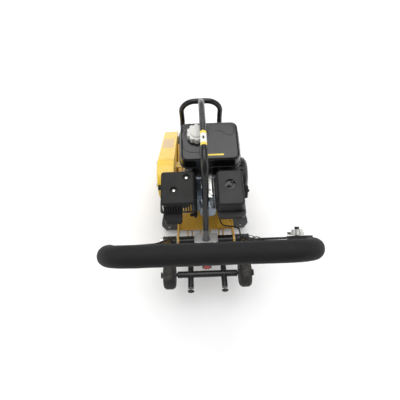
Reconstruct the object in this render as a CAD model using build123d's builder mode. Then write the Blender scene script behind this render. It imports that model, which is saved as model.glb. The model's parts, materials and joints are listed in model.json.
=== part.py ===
from build123d import *
import os
from math import atan2, cos, degrees, hypot, radians, sin

os.makedirs("parts", exist_ok=True)

# Frame: +X is the machine's right, +Y its direction of travel, +Z up. The origin lies on the
# ground in the machine's centre plane, midway between the ends of the base plate.

# ---------------------------------------------------------------- driving dimensions, in mm
# Base plate
base_half_width = 230
base_end = 300
base_thick = 12
base_rise = 48
base_flat_rear = -195
base_flat_front = 236
base_knee_rear = -262
base_knee_front = 268
base_corner = 24
pad_hole_radius = 6.5
pad_hole_x = 190
pad_hole_y = 285

# Rubber mounts and the towers that carry them
mount_x = 92
mount_rear_y = -200
mount_front_y = 30
mount_spots = [(sx * mount_x, y) for sx in (-1, 1) for y in (mount_rear_y, mount_front_y)]
tower_top = 180
mount_radius = 25
stud_radius = 5

# Exciter
exciter_y = 160
exciter_z = 112
exciter_radius = 56
exciter_half = 130
chamber_radius = 44
exciter_seat_radius = 36
exciter_shaft_radius = 15
exciter_bolt_x = 95
exciter_bolt_y = 50

# Engine deck
deck_half = 130
deck_rear = -364
deck_front = 120
deck_top = 240
deck_thick = 8
flange_drop = 44

# Engine, measured from its crankshaft
crank_y = -140
crank_z = 346
cylinder_tilt = 20
piston_radius = 34
crank_throw = 22.5
journal_radius = 12.45
shaft_radius = 10
shaft_end = -190

# Belt drive
belt_x = -166
drive_pitch = 60
driven_pitch = 40
guard_outer = -206
guard_inner = -134
guard_front_y = 172
guard_front_z = 122
guard_radius = 96

# Tank
tank_x_min = -101
tank_x_max = 156
tank_y_min = -186
tank_y_max = 16
tank_bottom = 466
tank_top = 558
cap_x = -25
cap_y = -59
cap_radius = 40

# Protection frame
hoop_y = 270
hoop_top = 394
hoop_half = 102
hoop_radius = 13.5
hoop_foot_z = 214
bar_radius = 13
bar_foot_y = -430
bar_foot_z = 284

# Handle
pivot_y = -420
pivot_z = 255
handle_lean = 18.7
handle_half = 165
handle_top_half = 249
handle_length = 711
handle_radius = 15
grip_radius = 26
grip_start = 636

# Wheel frame
hinge_y = -388
hinge_z = 150
axle_y = -564
axle_z = 200
arm_x = 75
arm_radius = 13
axle_radius = 8
wheel_x = 170
wheel_radius = 62.5

# Common
m16 = 8
m10 = 5
m8 = 4
m6 = 3
running = 0.05


def finish(builder, name):
    """Label a finished piece and write it."""
    builder.part.label = name
    export_step(builder.part, f"parts/{name}.step")


def along_x(x, y, z):
    """Plane whose normal is +X, with Y to the right and Z up, at a point."""
    return Plane(origin=(x, y, z), x_dir=(0, 1, 0), z_dir=(1, 0, 0))


def toward(point, direction, x_dir=(1, 0, 0)):
    """Plane at a point whose normal is the given direction."""
    return Plane(origin=point, x_dir=x_dir, z_dir=direction)


def rod(plane, radius, length, mode=Mode.ADD):
    """Cylinder that starts on a plane and runs along its normal."""
    with Locations(plane):
        Cylinder(radius, length, align=(Align.CENTER, Align.CENTER, Align.MIN), mode=mode)


def ring(plane, outer, inner, length):
    """Tube that starts on a plane and runs along its normal."""
    with BuildSketch(plane) as section:
        Circle(outer)
        Circle(inner, mode=Mode.SUBTRACT)
    extrude(section.sketch, amount=length)


def span(x, y, z, mode=Mode.ADD):
    """Box between two values on each axis."""
    with Locations(((x[0] + x[1]) / 2, (y[0] + y[1]) / 2, (z[0] + z[1]) / 2)):
        Box(abs(x[1] - x[0]), abs(y[1] - y[0]), abs(z[1] - z[0]), mode=mode)


def hex_bolt(plane, radius, length):
    """Bolt whose head sits on the plane: the head above it, the shank below."""
    with BuildSketch(plane) as head:
        RegularPolygon(radius * 1.75, 6)
    extrude(head.sketch, amount=radius * 1.3)
    rod(toward(plane.origin, -plane.z_dir, plane.x_dir), radius, length)


def hex_nut(plane, radius):
    """Nut that sits on the plane, around a rod of the same radius."""
    with BuildSketch(plane) as body:
        RegularPolygon(radius * 1.8, 6)
        Circle(radius, mode=Mode.SUBTRACT)
    extrude(body.sketch, amount=radius * 1.6)


def coil(plane, radius, wire, pitch, height):
    """Helical spring that stands on a plane."""
    centre = plane.origin
    with BuildLine() as path:
        Helix(pitch, height, radius, center=centre, direction=plane.z_dir)
    start = path.line @ 0
    with BuildSketch(Plane(origin=start, z_dir=path.line % 0)) as section:
        Circle(wire)
    sweep(section.sketch, path=path.line, is_frenet=True)


# Directions used by the tilted sub-assemblies
tilt = radians(cylinder_tilt)
cylinder_dir = Vector(0, -cos(tilt), sin(tilt))
cylinder_up = Vector(0, sin(tilt), cos(tilt))
crank_centre = Vector(0, crank_y, crank_z)


def cylinder_plane(length, x=0, up=0):
    """Plane across the cylinder axis, at a distance from the crankshaft."""
    point = crank_centre + cylinder_dir * length + cylinder_up * up + Vector(x, 0, 0)
    return toward(point, cylinder_dir)


lean = radians(handle_lean)
handle_up = Vector(0, -sin(lean), cos(lean))
handle_front = Vector(0, cos(lean), sin(lean))
handle_origin = Vector(0, pivot_y, pivot_z)
handle_plane = Plane(origin=handle_origin, x_dir=(1, 0, 0), z_dir=-handle_front)

arm_length = hypot(axle_y - hinge_y, axle_z - hinge_z)
arm_dir = Vector(0, (axle_y - hinge_y) / arm_length, (axle_z - hinge_z) / arm_length)
arm_up = Vector(0, arm_dir.Z, -arm_dir.Y)
hinge_centre = Vector(0, hinge_y, hinge_z)


def on_arm(distance, x=0, up=0):
    """Point on the wheel frame, at a distance from its hinge."""
    return hinge_centre + arm_dir * distance + arm_up * up + Vector(x, 0, 0)


# ---------------------------------------------------------------- base plate
with BuildPart() as base_plate:
    with BuildSketch(Plane.YZ) as base_profile:
        with BuildLine():
            base_curve = FilletPolyline(
                (-base_end, base_rise),
                (base_knee_rear, base_rise),
                (base_flat_rear, 0),
                (base_flat_front, 0),
                (base_knee_front, base_rise),
                (base_end, base_rise),
                radius=26,
            )
            offset(base_curve, amount=base_thick, side=Side.LEFT)
        make_face()
    extrude(amount=base_half_width, both=True)
    with BuildSketch() as outline:
        Rectangle(2 * base_half_width, 2 * base_end)
        chamfer(outline.vertices(), base_corner)
    extrude(amount=base_rise + base_thick, mode=Mode.INTERSECT)
    for tower_x, tower_y in mount_spots:
        for web_side in (-1, 1):
            with BuildSketch(Plane.YZ.offset(tower_x + web_side * 26 - 4)) as web:
                with BuildLine():
                    if tower_y == mount_rear_y:
                        Polyline((-228, 174), (-228, 31), (-196, 7), (-172, 6), (-172, 174), close=True)
                    else:
                        Polyline((2, 174), (2, 6), (58, 6), (58, 174), close=True)
                make_face()
            extrude(amount=8)
        span((tower_x - 30, tower_x + 30), (tower_y - 30, tower_y + 30), (tower_top - 8, tower_top))
    with Locations(*[(x, y, tower_top) for x, y in mount_spots]):
        Hole(stud_radius, 10)
    with Locations(
        *[(sx * pad_hole_x, sy * pad_hole_y, base_rise + base_thick) for sx in (-1, 1) for sy in (-1, 1)]
    ):
        Hole(pad_hole_radius, 20)
    with Locations(
        *[
            (sx * exciter_bolt_x, exciter_y + sy * exciter_bolt_y, base_thick)
            for sx in (-1, 1)
            for sy in (-1, 1)
        ]
    ):
        Hole(m10, 10)
finish(base_plate, "base_plate")

# ---------------------------------------------------------------- exciter
exciter_left = along_x(-exciter_half, exciter_y, exciter_z)

with BuildPart() as exciter_housing:
    rod(exciter_left, exciter_radius, 2 * exciter_half)
    span((-120, 120), (exciter_y - 40, exciter_y + 40), (base_thick, exciter_z))
    span((-120, 120), (exciter_y - 62, exciter_y + 62), (base_thick, base_thick + 16))
    for rib_x in (-118, -40, 28, 106):
        span((rib_x, rib_x + 12), (exciter_y - 60, exciter_y + 60), (base_thick, 66))
    rod(exciter_left, chamber_radius, 2 * exciter_half, mode=Mode.SUBTRACT)
    for seat_side in (-1, 1):
        with BuildSketch(along_x(seat_side * 117 - 13, exciter_y, exciter_z)) as seat:
            Circle(chamber_radius)
            Circle(exciter_seat_radius, mode=Mode.SUBTRACT)
        extrude(seat.sketch, amount=26)
    with Locations(
        *[
            (sx * exciter_bolt_x, exciter_y + sy * exciter_bolt_y, base_thick + 16)
            for sx in (-1, 1)
            for sy in (-1, 1)
        ]
    ):
        Hole(m10, 16)
finish(exciter_housing, "exciter_housing")

with BuildPart() as exciter_covers:
    for cover_side in (-1, 1):
        outward = toward((cover_side * exciter_half, exciter_y, exciter_z), (cover_side, 0, 0), (0, 1, 0))
        rod(outward, exciter_radius, 12)
        with Locations(outward.offset(12)):
            with PolarLocations(49, 6):
                Cylinder(4.5, 5, align=(Align.CENTER, Align.CENTER, Align.MIN))
    rod(along_x(-exciter_half - 12, exciter_y, exciter_z), exciter_shaft_radius + 1, 12, mode=Mode.SUBTRACT)
finish(exciter_covers, "exciter_covers")

with BuildPart() as exciter_shaft:
    rod(along_x(-190, exciter_y, exciter_z), exciter_shaft_radius, 318)
    chamfer(exciter_shaft.edges(), 1)
finish(exciter_shaft, "exciter_shaft")

with BuildPart() as eccentric_weights:
    for weight_x in (-82, 22):
        with BuildSketch(along_x(weight_x, exciter_y, exciter_z)) as weight:
            Circle(40)
            with Locations((0, 20 + 12)):
                Rectangle(90, 40, mode=Mode.SUBTRACT)
            Circle(24)
            Circle(exciter_shaft_radius, mode=Mode.SUBTRACT)
        extrude(weight.sketch, amount=60)
finish(eccentric_weights, "eccentric_weights")


def grooved_wheel(x_centre, half_width, outer, depth):
    """Cross-section of a V pulley above its axis, in the plane of the axis."""
    return [
        (x_centre - half_width, outer),
        (x_centre - 7, outer),
        (x_centre - 4.6, outer - depth),
        (x_centre + 4.6, outer - depth),
        (x_centre + 7, outer),
        (x_centre + half_width, outer),
    ]


with BuildPart() as exciter_pulley:
    with BuildSketch(Plane.XY) as pulley_profile:
        with BuildLine():
            Polyline(
                (belt_x - 14, exciter_shaft_radius),
                *grooved_wheel(belt_x, 14, driven_pitch + 5, 11),
                (belt_x + 14, exciter_shaft_radius),
                close=True,
            )
        make_face()
    revolve(axis=Axis.X)
exciter_pulley.part.locate(Location((0, exciter_y, exciter_z)))
finish(exciter_pulley, "exciter_pulley")

# ---------------------------------------------------------------- rubber mounts
deck_bottom = deck_top - deck_thick
mount_plate = 3

with BuildPart() as rubber_mounts:
    for spot_x, spot_y in mount_spots:
        bulge = 3
        with BuildSketch(Plane.XZ.offset(-spot_y)) as mount_profile:
            with BuildLine():
                low = tower_top + mount_plate
                high = deck_bottom - mount_plate
                mid = (low + high) / 2
                Line((spot_x, low), (spot_x + mount_radius, low))
                ThreePointArc(
                    (spot_x + mount_radius, low),
                    (spot_x + mount_radius - bulge, mid),
                    (spot_x + mount_radius, high),
                )
                Line((spot_x + mount_radius, high), (spot_x, high))
                Line((spot_x, high), (spot_x, low))
            make_face()
        revolve(axis=Axis((spot_x, spot_y, 0), (0, 0, 1)))
finish(rubber_mounts, "rubber_mounts")

# ---------------------------------------------------------------- engine deck
engine_bolt_x = 37.75
engine_bolt_y = 81
engine_bolt_spots = [
    (sx * engine_bolt_x, crank_y + sy * engine_bolt_y) for sx in (-1, 1) for sy in (-1, 1)
]
ear_radius = 26

with BuildPart() as engine_deck:
    span((-deck_half, deck_half), (deck_rear, deck_front), (deck_bottom, deck_top))
    for flange_side in (-1, 1):
        inner = flange_side * (deck_half - deck_thick)
        outer = flange_side * deck_half
        span((inner, outer), (deck_rear, deck_front), (deck_top - flange_drop, deck_bottom))
        with BuildSketch(Plane.YZ.offset(min(inner, outer))) as ear:
            with BuildLine():
                Polyline(
                    (deck_rear + 60, deck_top - flange_drop),
                    (pivot_y + 14, pivot_z - ear_radius + 4),
                    (pivot_y + 14, pivot_z + ear_radius - 4),
                    (deck_rear + 20, deck_top + 22),
                    (deck_rear + 60, deck_top),
                    close=True,
                )
            make_face()
            with Locations((pivot_y, pivot_z)):
                Circle(ear_radius)
        extrude(ear.sketch, amount=deck_thick)
        rod(along_x(min(inner, outer), pivot_y, pivot_z), m16, deck_thick, mode=Mode.SUBTRACT)
    lip_half = deck_half - deck_thick
    span((-lip_half, lip_half), (deck_front - deck_thick, deck_front), (202, deck_bottom))
    for leg_x in (-hoop_half, hoop_half):
        rod(toward((leg_x, 90, hoop_foot_z), (0, 1, 0)), hoop_radius, 40, mode=Mode.SUBTRACT)
    fillet(
        engine_deck.edges().filter_by(Axis.Y).group_by(Axis.Z)[-1].filter_by(
            lambda edge: abs(abs(edge.center().X) - deck_half) < 1
        ),
        5,
    )
    with Locations(*[(x, y, deck_top) for x, y in mount_spots]):
        Hole(stud_radius, 10)
    with Locations(*[(x, y, deck_top) for x, y in engine_bolt_spots]):
        Hole(m8, 10)
finish(engine_deck, "engine_deck")

with BuildPart() as rear_cross_member:
    cross_half = deck_half - deck_thick
    ring(along_x(-cross_half, pivot_y, pivot_z), 20, 16, 2 * cross_half)
    for plug_start in (-cross_half, cross_half - 24):
        ring(along_x(plug_start, pivot_y, pivot_z), 16, m16, 24)
    span((-53, 53), (bar_foot_y - 32, bar_foot_y + 34), (pivot_z + 16, pivot_z + 22))
    rod(along_x(-60, pivot_y, pivot_z), 16, 120, mode=Mode.SUBTRACT)
    for foot_bolt_x in (-38, 38):
        rod(Plane(origin=(foot_bolt_x, bar_foot_y - 18, pivot_z + 16)), m10, 6, mode=Mode.SUBTRACT)
finish(rear_cross_member, "rear_cross_member")

# Lugs for the wheel frame's hinge, and the quadrant that its plunger locks into
quadrant_in = 67
quadrant_out = 73
stow_angle = degrees(atan2(arm_dir.Z, arm_dir.Y))
swing = 44
plunger_radius = 6
with BuildPart() as wheel_lugs:
    for lug_x in (-88, -67, 62, 83):
        with BuildSketch(Plane.YZ.offset(lug_x)) as lug:
            with BuildLine():
                Polyline(
                    (deck_rear + 6, deck_bottom),
                    (deck_rear + 62, deck_bottom),
                    (hinge_y + 18, hinge_z - 4),
                    (hinge_y - 17, hinge_z + 2),
                    close=True,
                )
            make_face()
            with Locations((hinge_y, hinge_z)):
                Circle(18)
                Circle(m10, mode=Mode.SUBTRACT)
        extrude(lug.sketch, amount=5)
    for cheek_x in (-24, 19):
        with BuildSketch(Plane.YZ.offset(cheek_x)) as cheek:
            with BuildLine():
                Polyline(
                    (deck_rear + 6, deck_bottom),
                    (deck_rear + 62, deck_bottom),
                    (hinge_y + 10, hinge_z - 20),
                    (hinge_y - 60, hinge_z - 34),
                    (hinge_y - 64, hinge_z + 22),
                    close=True,
                )
            make_face()
        extrude(cheek.sketch, amount=5)
    with BuildSketch(Plane.YZ.offset(-19)) as quadrant:
        with BuildLine():
            inner_arc = CenterArc((hinge_y, hinge_z), quadrant_in, stow_angle - 12, swing + 24)
            outer_arc = CenterArc((hinge_y, hinge_z), quadrant_out, stow_angle - 12, swing + 24)
            Line(inner_arc @ 0, outer_arc @ 0)
            Line(inner_arc @ 1, outer_arc @ 1)
        make_face()
    extrude(quadrant.sketch, amount=38)
    for lock_angle in (stow_angle, stow_angle + swing):
        lock_dir = Vector(0, cos(radians(lock_angle)), sin(radians(lock_angle)))
        rod(toward(hinge_centre + lock_dir * 55, lock_dir), plunger_radius + 0.2, 30, mode=Mode.SUBTRACT)
finish(wheel_lugs, "wheel_lugs")

# ---------------------------------------------------------------- belt guard and belt drive


def guard_hull(x, grow):
    """Outline around both pulleys, grown or shrunk."""
    with BuildSketch(Plane.YZ.offset(x)) as hull:
        with Locations((crank_y, crank_z)):
            Circle(guard_radius + grow)
        with Locations((guard_front_y, guard_front_z)):
            Circle(guard_radius - 1 + grow)
        make_hull()
    return hull.sketch


with BuildPart() as belt_guard:
    extrude(guard_hull(guard_outer, 0), amount=guard_inner - guard_outer)
    fillet(belt_guard.faces().sort_by(Axis.X)[0].edges(), 5)
    extrude(guard_hull(guard_outer + 2, -2), amount=guard_inner - guard_outer - 2, mode=Mode.SUBTRACT)
finish(belt_guard, "belt_guard")

with BuildPart() as belt_guard_back:
    extrude(guard_hull(guard_inner, 0), amount=2)
    rod(along_x(guard_inner, exciter_y, exciter_z), exciter_radius + 9, 2, mode=Mode.SUBTRACT)
    rod(along_x(guard_inner, crank_y, crank_z), 24, 2, mode=Mode.SUBTRACT)
    span((-132, -100), (-60, -30), (300, 304))
    span((-104, -100), (-60, -30), (deck_top, 304))
    span((-104, -84), (-60, -30), (deck_top, deck_top + 4))
finish(belt_guard_back, "belt_guard_back")

with BuildPart() as v_belt:
    with BuildSketch(Plane.YZ.offset(belt_x - 4.8)) as belt_loop:
        with Locations((crank_y, crank_z)):
            Circle(drive_pitch + 3)
        with Locations((exciter_y, exciter_z)):
            Circle(driven_pitch + 3)
        make_hull()
    with BuildSketch(Plane.YZ.offset(belt_x - 4.8)) as belt_inside:
        with Locations((crank_y, crank_z)):
            Circle(drive_pitch - 4)
        with Locations((exciter_y, exciter_z)):
            Circle(driven_pitch - 4)
        make_hull()
    extrude(belt_loop.sketch, amount=9.6)
    extrude(belt_inside.sketch, amount=9.6, mode=Mode.SUBTRACT)
finish(v_belt, "v_belt")

drum_inner = 46
with BuildPart() as clutch_drum:
    with BuildSketch(Plane.XY) as drum_profile:
        with BuildLine():
            Polyline(
                (belt_x - 22, drum_inner),
                (belt_x - 22, drive_pitch + 1),
                *grooved_wheel(belt_x, 15, drive_pitch + 5, 12),
                (belt_x + 20, drive_pitch - 6),
                (belt_x + 20, shaft_radius + running),
                (belt_x + 13, shaft_radius + running),
                (belt_x + 13, drum_inner),
                close=True,
            )
        make_face()
    revolve(axis=Axis.X)
clutch_drum.part.locate(Location((0, crank_y, crank_z)))
finish(clutch_drum, "clutch_drum")

with BuildPart() as clutch_hub:
    with BuildSketch(along_x(shaft_end + 3, crank_y, crank_z)) as hub_section:
        Circle(23)
        Circle(shaft_radius, mode=Mode.SUBTRACT)
        with Locations((0, 30), (0, -30)):
            Rectangle(13, 26)
        Circle(shaft_radius, mode=Mode.SUBTRACT)
        with Locations((0, 45), (0, -45)):
            Rectangle(30, 20, mode=Mode.SUBTRACT)
    extrude(hub_section.sketch, amount=32)
finish(clutch_hub, "clutch_hub")


def shoe(side):
    """Clutch shoe on one side of the hub; side is +1 forward, -1 rearward."""
    with BuildSketch(along_x(shaft_end + 5, crank_y, crank_z)) as lining:
        Circle(44)
        Circle(24.5, mode=Mode.SUBTRACT)
        Rectangle(17, 100, mode=Mode.SUBTRACT)
        with Locations((-side * 30, 0)):
            Rectangle(60, 100, mode=Mode.SUBTRACT)
    extrude(lining.sketch, amount=27)


with BuildPart() as clutch_shoe_front:
    shoe(1)
finish(clutch_shoe_front, "clutch_shoe_front")

with BuildPart() as clutch_shoe_rear:
    shoe(-1)
finish(clutch_shoe_rear, "clutch_shoe_rear")

# ---------------------------------------------------------------- engine core
plug_x = -42
plug_up = -28


def case_outline(x):
    """Side view of the crankcase at a position across the machine."""
    with BuildSketch(Plane.YZ.offset(x)) as outline:
        with BuildLine():
            FilletPolyline(
                (crank_y - 72, deck_top + 10),
                (crank_y + 72, deck_top + 10),
                (crank_y + 74, crank_z + 48),
                (crank_y + 42, crank_z + 82),
                (crank_y - 52, crank_z + 82),
                (crank_y - 76, crank_z + 52),
                radius=14,
                close=True,
            )
        make_face()
    return outline.sketch


with BuildPart() as crankcase:
    extrude(case_outline(-60), amount=132)
    with BuildSketch(Plane.XY.offset(deck_top)) as foot:
        with Locations((0, crank_y)):
            RectangleRounded(120, 192, 16)
    extrude(amount=13)
    rod(cylinder_plane(50), 46, 80)
    for fin in range(6):
        with BuildSketch(cylinder_plane(78 + 9 * fin)) as fin_outline:
            RectangleRounded(112, 92, 12)
        extrude(fin_outline.sketch, amount=2.6)
    rod(cylinder_plane(40), piston_radius + running, 95, mode=Mode.SUBTRACT)
    rod(along_x(-60, crank_y, crank_z), 64, 118, mode=Mode.SUBTRACT)
    rod(along_x(50, crank_y, crank_z), 26, 30, mode=Mode.SUBTRACT)
    with Locations(*[(x, y, deck_top + 13) for x, y in engine_bolt_spots]):
        Hole(m8, 14)
finish(crankcase, "crankcase")

with BuildPart() as crankcase_cover:
    extrude(case_outline(-66), amount=6)
    with BuildSketch(along_x(-66, crank_y, crank_z)) as dome_base:
        Circle(68)
    with BuildSketch(along_x(-86, crank_y, crank_z)) as dome_top:
        Circle(52)
    loft([dome_base.sketch, dome_top.sketch])
    rod(along_x(-98, crank_y, crank_z), 32, 20)
    rod(along_x(-82, crank_y, crank_z), 46, 22, mode=Mode.SUBTRACT)
    rod(along_x(-87, crank_y, crank_z), 26, 40, mode=Mode.SUBTRACT)
    rod(along_x(-98, crank_y, crank_z), 20, 12, mode=Mode.SUBTRACT)
    with Locations(along_x(-66, crank_y, crank_z)):
        with PolarLocations(71, 6, start_angle=22):
            Cylinder(4.5, 10, align=(Align.CENTER, Align.CENTER, Align.MAX))
finish(crankcase_cover, "crankcase_cover")

# Crankshaft bearings with the oil seal outside the left one, and the two exciter bearings
with BuildPart() as bearings:
    for bearing_start in (-86, 55):
        ring(along_x(bearing_start, crank_y, crank_z), 26, journal_radius + running, 15)
    ring(along_x(-97, crank_y, crank_z), 20, journal_radius + running, 9)
    for bearing_side in (-1, 1):
        start_plane = along_x(bearing_side * 117 - 11, exciter_y, exciter_z)
        ring(start_plane, exciter_seat_radius, exciter_shaft_radius + running, 22)
        with BuildSketch(start_plane) as groove:
            Circle(30)
            Circle(22, mode=Mode.SUBTRACT)
        extrude(groove.sketch, amount=2, mode=Mode.SUBTRACT)
finish(bearings, "bearings")

with BuildPart() as crankshaft:
    rod(along_x(shaft_end, crank_y, crank_z), shaft_radius, 90)
    rod(along_x(-102, crank_y, crank_z), journal_radius, 80)
    rod(along_x(22, crank_y, crank_z), journal_radius, 54)
    rod(along_x(76, crank_y, crank_z), shaft_radius, 48)
    for web_x in (-22, 11):
        with BuildSketch(along_x(web_x, crank_y, crank_z)) as web:
            with Locations(
                (crank_throw * cylinder_dir.Y, crank_throw * cylinder_dir.Z),
            ):
                Circle(18)
            with Locations((0, 0)):
                Circle(22)
            make_hull()
            with Locations((-18 * cylinder_dir.Y, -18 * cylinder_dir.Z)):
                Circle(26)
        extrude(web.sketch, amount=11)
    rod(
        along_x(-11, crank_y + crank_throw * cylinder_dir.Y, crank_z + crank_throw * cylinder_dir.Z), 14, 22
    )
    chamfer(crankshaft.edges().sort_by(Axis.X)[0], 1.5)
finish(crankshaft, "crankshaft")

piston_pin = crank_throw + 84
with BuildPart() as piston:
    rod(cylinder_plane(piston_pin - 13), piston_radius, 33)
    rod(cylinder_plane(piston_pin - 13), piston_radius - 5, 26, mode=Mode.SUBTRACT)
    for groove_at in (6, 11, 16):
        with BuildSketch(cylinder_plane(piston_pin + 20 - groove_at)) as ring_groove:
            Circle(piston_radius + 1)
            Circle(piston_radius - 2.5, mode=Mode.SUBTRACT)
        extrude(ring_groove.sketch, amount=1.6, mode=Mode.SUBTRACT)
    pin_centre = cylinder_plane(piston_pin).origin
    rod(along_x(-31, pin_centre.Y, pin_centre.Z), 8, 62)
finish(piston, "piston")

with BuildPart() as cylinder_head:
    for fin in range(5):
        with BuildSketch(cylinder_plane(130 + 9 * fin)) as head_fin:
            RectangleRounded(112, 86, 10)
        extrude(head_fin.sketch, amount=2.6)
    with BuildSketch(cylinder_plane(130)) as head_core:
        RectangleRounded(96, 74, 12)
    extrude(head_core.sketch, amount=46)
    with BuildSketch(cylinder_plane(172)) as head_deck:
        RectangleRounded(112, 86, 10)
    extrude(head_deck.sketch, amount=6)
    rod(cylinder_plane(130), 30, 6, mode=Mode.SUBTRACT)
    rod(toward(cylinder_plane(152, 46, 8).origin, (1, 0, 0), (0, 1, 0)), 19, 14)
    rod(toward(cylinder_plane(152, -46, 8).origin, (-1, 0, 0), (0, 1, 0)), 19, 14)
    rod(toward(cylinder_plane(152, 30, 8).origin, (1, 0, 0), (0, 1, 0)), 11, 34, mode=Mode.SUBTRACT)
    rod(toward(cylinder_plane(152, -30, 8).origin, (-1, 0, 0), (0, 1, 0)), 11, 34, mode=Mode.SUBTRACT)
    rod(cylinder_plane(160, plug_x, plug_up), 7, 20, mode=Mode.SUBTRACT)
finish(cylinder_head, "cylinder_head")

rocker_x = 10
rocker_end = 226
with BuildPart() as rocker_cover:
    with BuildSketch(cylinder_plane(178)) as rocker_flange:
        with Locations((rocker_x, 4)):
            RectangleRounded(84, 76, 10)
    extrude(rocker_flange.sketch, amount=4)
    with BuildSketch(cylinder_plane(182)) as rocker_low:
        with Locations((rocker_x, 4)):
            RectangleRounded(76, 68, 14)
    with BuildSketch(cylinder_plane(rocker_end)) as rocker_high:
        with Locations((rocker_x, 4)):
            RectangleRounded(64, 56, 16)
    loft([rocker_low.sketch, rocker_high.sketch])
    fillet(rocker_cover.faces().sort_by(Axis.Y)[0].edges(), 5)
    with BuildSketch(cylinder_plane(178)) as rocker_cavity_low:
        with Locations((rocker_x, 4)):
            RectangleRounded(70, 62, 12)
    with BuildSketch(cylinder_plane(rocker_end - 6)) as rocker_cavity_high:
        with Locations((rocker_x, 4)):
            RectangleRounded(58, 50, 14)
    loft([rocker_cavity_low.sketch, rocker_cavity_high.sketch], mode=Mode.SUBTRACT)
    for screw_x in (rocker_x - 36, rocker_x + 36):
        for screw_up in (-28, 36):
            hex_bolt(cylinder_plane(182, screw_x, screw_up), m6, 4)
finish(rocker_cover, "rocker_cover")

# Ignition: the plug, its cap, and the coil beside the flywheel
with BuildPart() as ignition:
    rod(cylinder_plane(188, plug_x, plug_up), 9, 26)
    rod(cylinder_plane(206, plug_x, plug_up), 6.5, 16)
    rod(toward(cylinder_plane(208, plug_x, plug_up).origin, (-1, 0, -0.35), (0, 1, 0)), 7.5, 22)
    rod(cylinder_plane(184, plug_x, plug_up), 5.2, 14.5, mode=Mode.SUBTRACT)
    rod(cylinder_plane(160, plug_x, plug_up), 6.95, 18)
    hex_bolt(cylinder_plane(178, plug_x, plug_up), 5, 0.5)
    rod(cylinder_plane(184, plug_x, plug_up), 5, 14)
    span((84, 100), (crank_y + 86, crank_y + 98), (crank_z - 16, crank_z + 16))
    span((82, 98), (crank_y + 83, crank_y + 86), (crank_z - 22, crank_z + 22))
finish(ignition, "ignition")

with BuildPart() as oil_dipsticks:
    for cap_side in (-1, 1):
        base = toward((cap_side * 40, crank_y - 76, deck_top + 42), (0, -1, 0.5))
        rod(base, 11, 16)
        rod(base.offset(16), 15, 9)
        with BuildSketch(base.offset(25)) as cap_grip:
            Rectangle(24, 5)
        extrude(cap_grip.sketch, amount=6)
    extrude(case_outline(-60), amount=132, mode=Mode.SUBTRACT)
finish(oil_dipsticks, "oil_dipsticks")

# ---------------------------------------------------------------- flywheel, fan housing and starter
fan_left = 74
fan_right = 150
with BuildPart() as flywheel:
    ring(along_x(80, crank_y, crank_z), 82, 70, 22)
    ring(along_x(80, crank_y, crank_z), 72, shaft_radius, 8)
    ring(along_x(80, crank_y, crank_z), 22, shaft_radius, 26)
    for blade in range(12):
        with Locations(along_x(0, crank_y, crank_z)):
            with Locations(Location((0, 0, 0), (0, 0, 30 * blade))):
                with Locations((62, 0, 107)):
                    Box(34, 4, 14)
    ring(along_x(99, crank_y, crank_z), 80, 42, 3)
    ring(along_x(100, crank_y, crank_z), 44, 22, 3)
    hex_nut(along_x(106 + running, crank_y, crank_z), shaft_radius)
    ring(along_x(116, crank_y, crank_z), 30, 26, 10)
    ring(along_x(113, crank_y, crank_z), 30, 12, 3)
finish(flywheel, "flywheel")


def fan_outline(x, grow):
    """Outline of the fan housing with its air duct toward the cylinder."""
    with BuildSketch(Plane.YZ.offset(x)) as shroud:
        with Locations((crank_y, crank_z)):
            Circle(103 + grow)
        with Locations((crank_y - 60, crank_z + 30)):
            Circle(44 + grow)
        make_hull()
    return shroud.sketch


with BuildPart() as fan_housing:
    extrude(fan_outline(fan_left, 0), amount=fan_right - fan_left)
    fillet(fan_housing.faces().sort_by(Axis.X)[-1].edges(), 6)
    extrude(fan_outline(fan_left + 2, -2), amount=fan_right - fan_left - 4, mode=Mode.SUBTRACT)
    rod(along_x(fan_left, crank_y, crank_z), 30, 2, mode=Mode.SUBTRACT)
    rod(along_x(fan_right - 3, crank_y, crank_z), 84, 4, mode=Mode.SUBTRACT)
finish(fan_housing, "fan_housing")

rope_angle = radians(142)
rope_dir = Vector(0, cos(rope_angle), sin(rope_angle))
rope_side = Vector(0, -rope_dir.Z, rope_dir.Y)
rope_x = 182
rope_offset = 30
rope_start = crank_centre + rope_side * rope_offset
with BuildPart() as recoil_cover:
    with BuildSketch(Plane.XY) as recoil_profile:
        with BuildLine():
            Polyline(
                (fan_right, 96),
                (fan_right + 3, 96),
                (fan_right + 3, 88),
                (fan_right + 34, 80),
                (fan_right + 44, 68),
                (fan_right + 44, 12),
                (fan_right + 12, 12),
                (fan_right + 12, 8),
                (fan_right + 46, 8),
                (fan_right + 46, 69),
                (fan_right + 35.5, 82),
                (fan_right + 4.6, 90),
                (fan_right + 4.6, 98),
                (fan_right, 98),
                close=True,
            )
        make_face()
    revolve(axis=Axis.X)
recoil_cover.part.locate(Location((0, crank_y, crank_z)))
with BuildPart() as recoil_shell:
    add(recoil_cover.part)
    with BuildSketch(along_x(fan_right + 40, crank_y, crank_z)) as louvres:
        with PolarLocations(44, 16):
            SlotOverall(34, 7)
    extrude(louvres.sketch, amount=10, mode=Mode.SUBTRACT)
    with BuildSketch(along_x(fan_right + 10, crank_y, crank_z)) as side_louvres:
        with PolarLocations(88, 28):
            Rectangle(18, 6)
    extrude(side_louvres.sketch, amount=14, mode=Mode.SUBTRACT)
    rod(toward(Vector(rope_x, 0, 0) + rope_start + rope_dir * 60, rope_dir), 12, 34)
    rod(toward(Vector(rope_x, 0, 0) + rope_start + rope_dir * 50, rope_dir), 5, 60, mode=Mode.SUBTRACT)
finish(recoil_shell, "recoil_cover")

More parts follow.
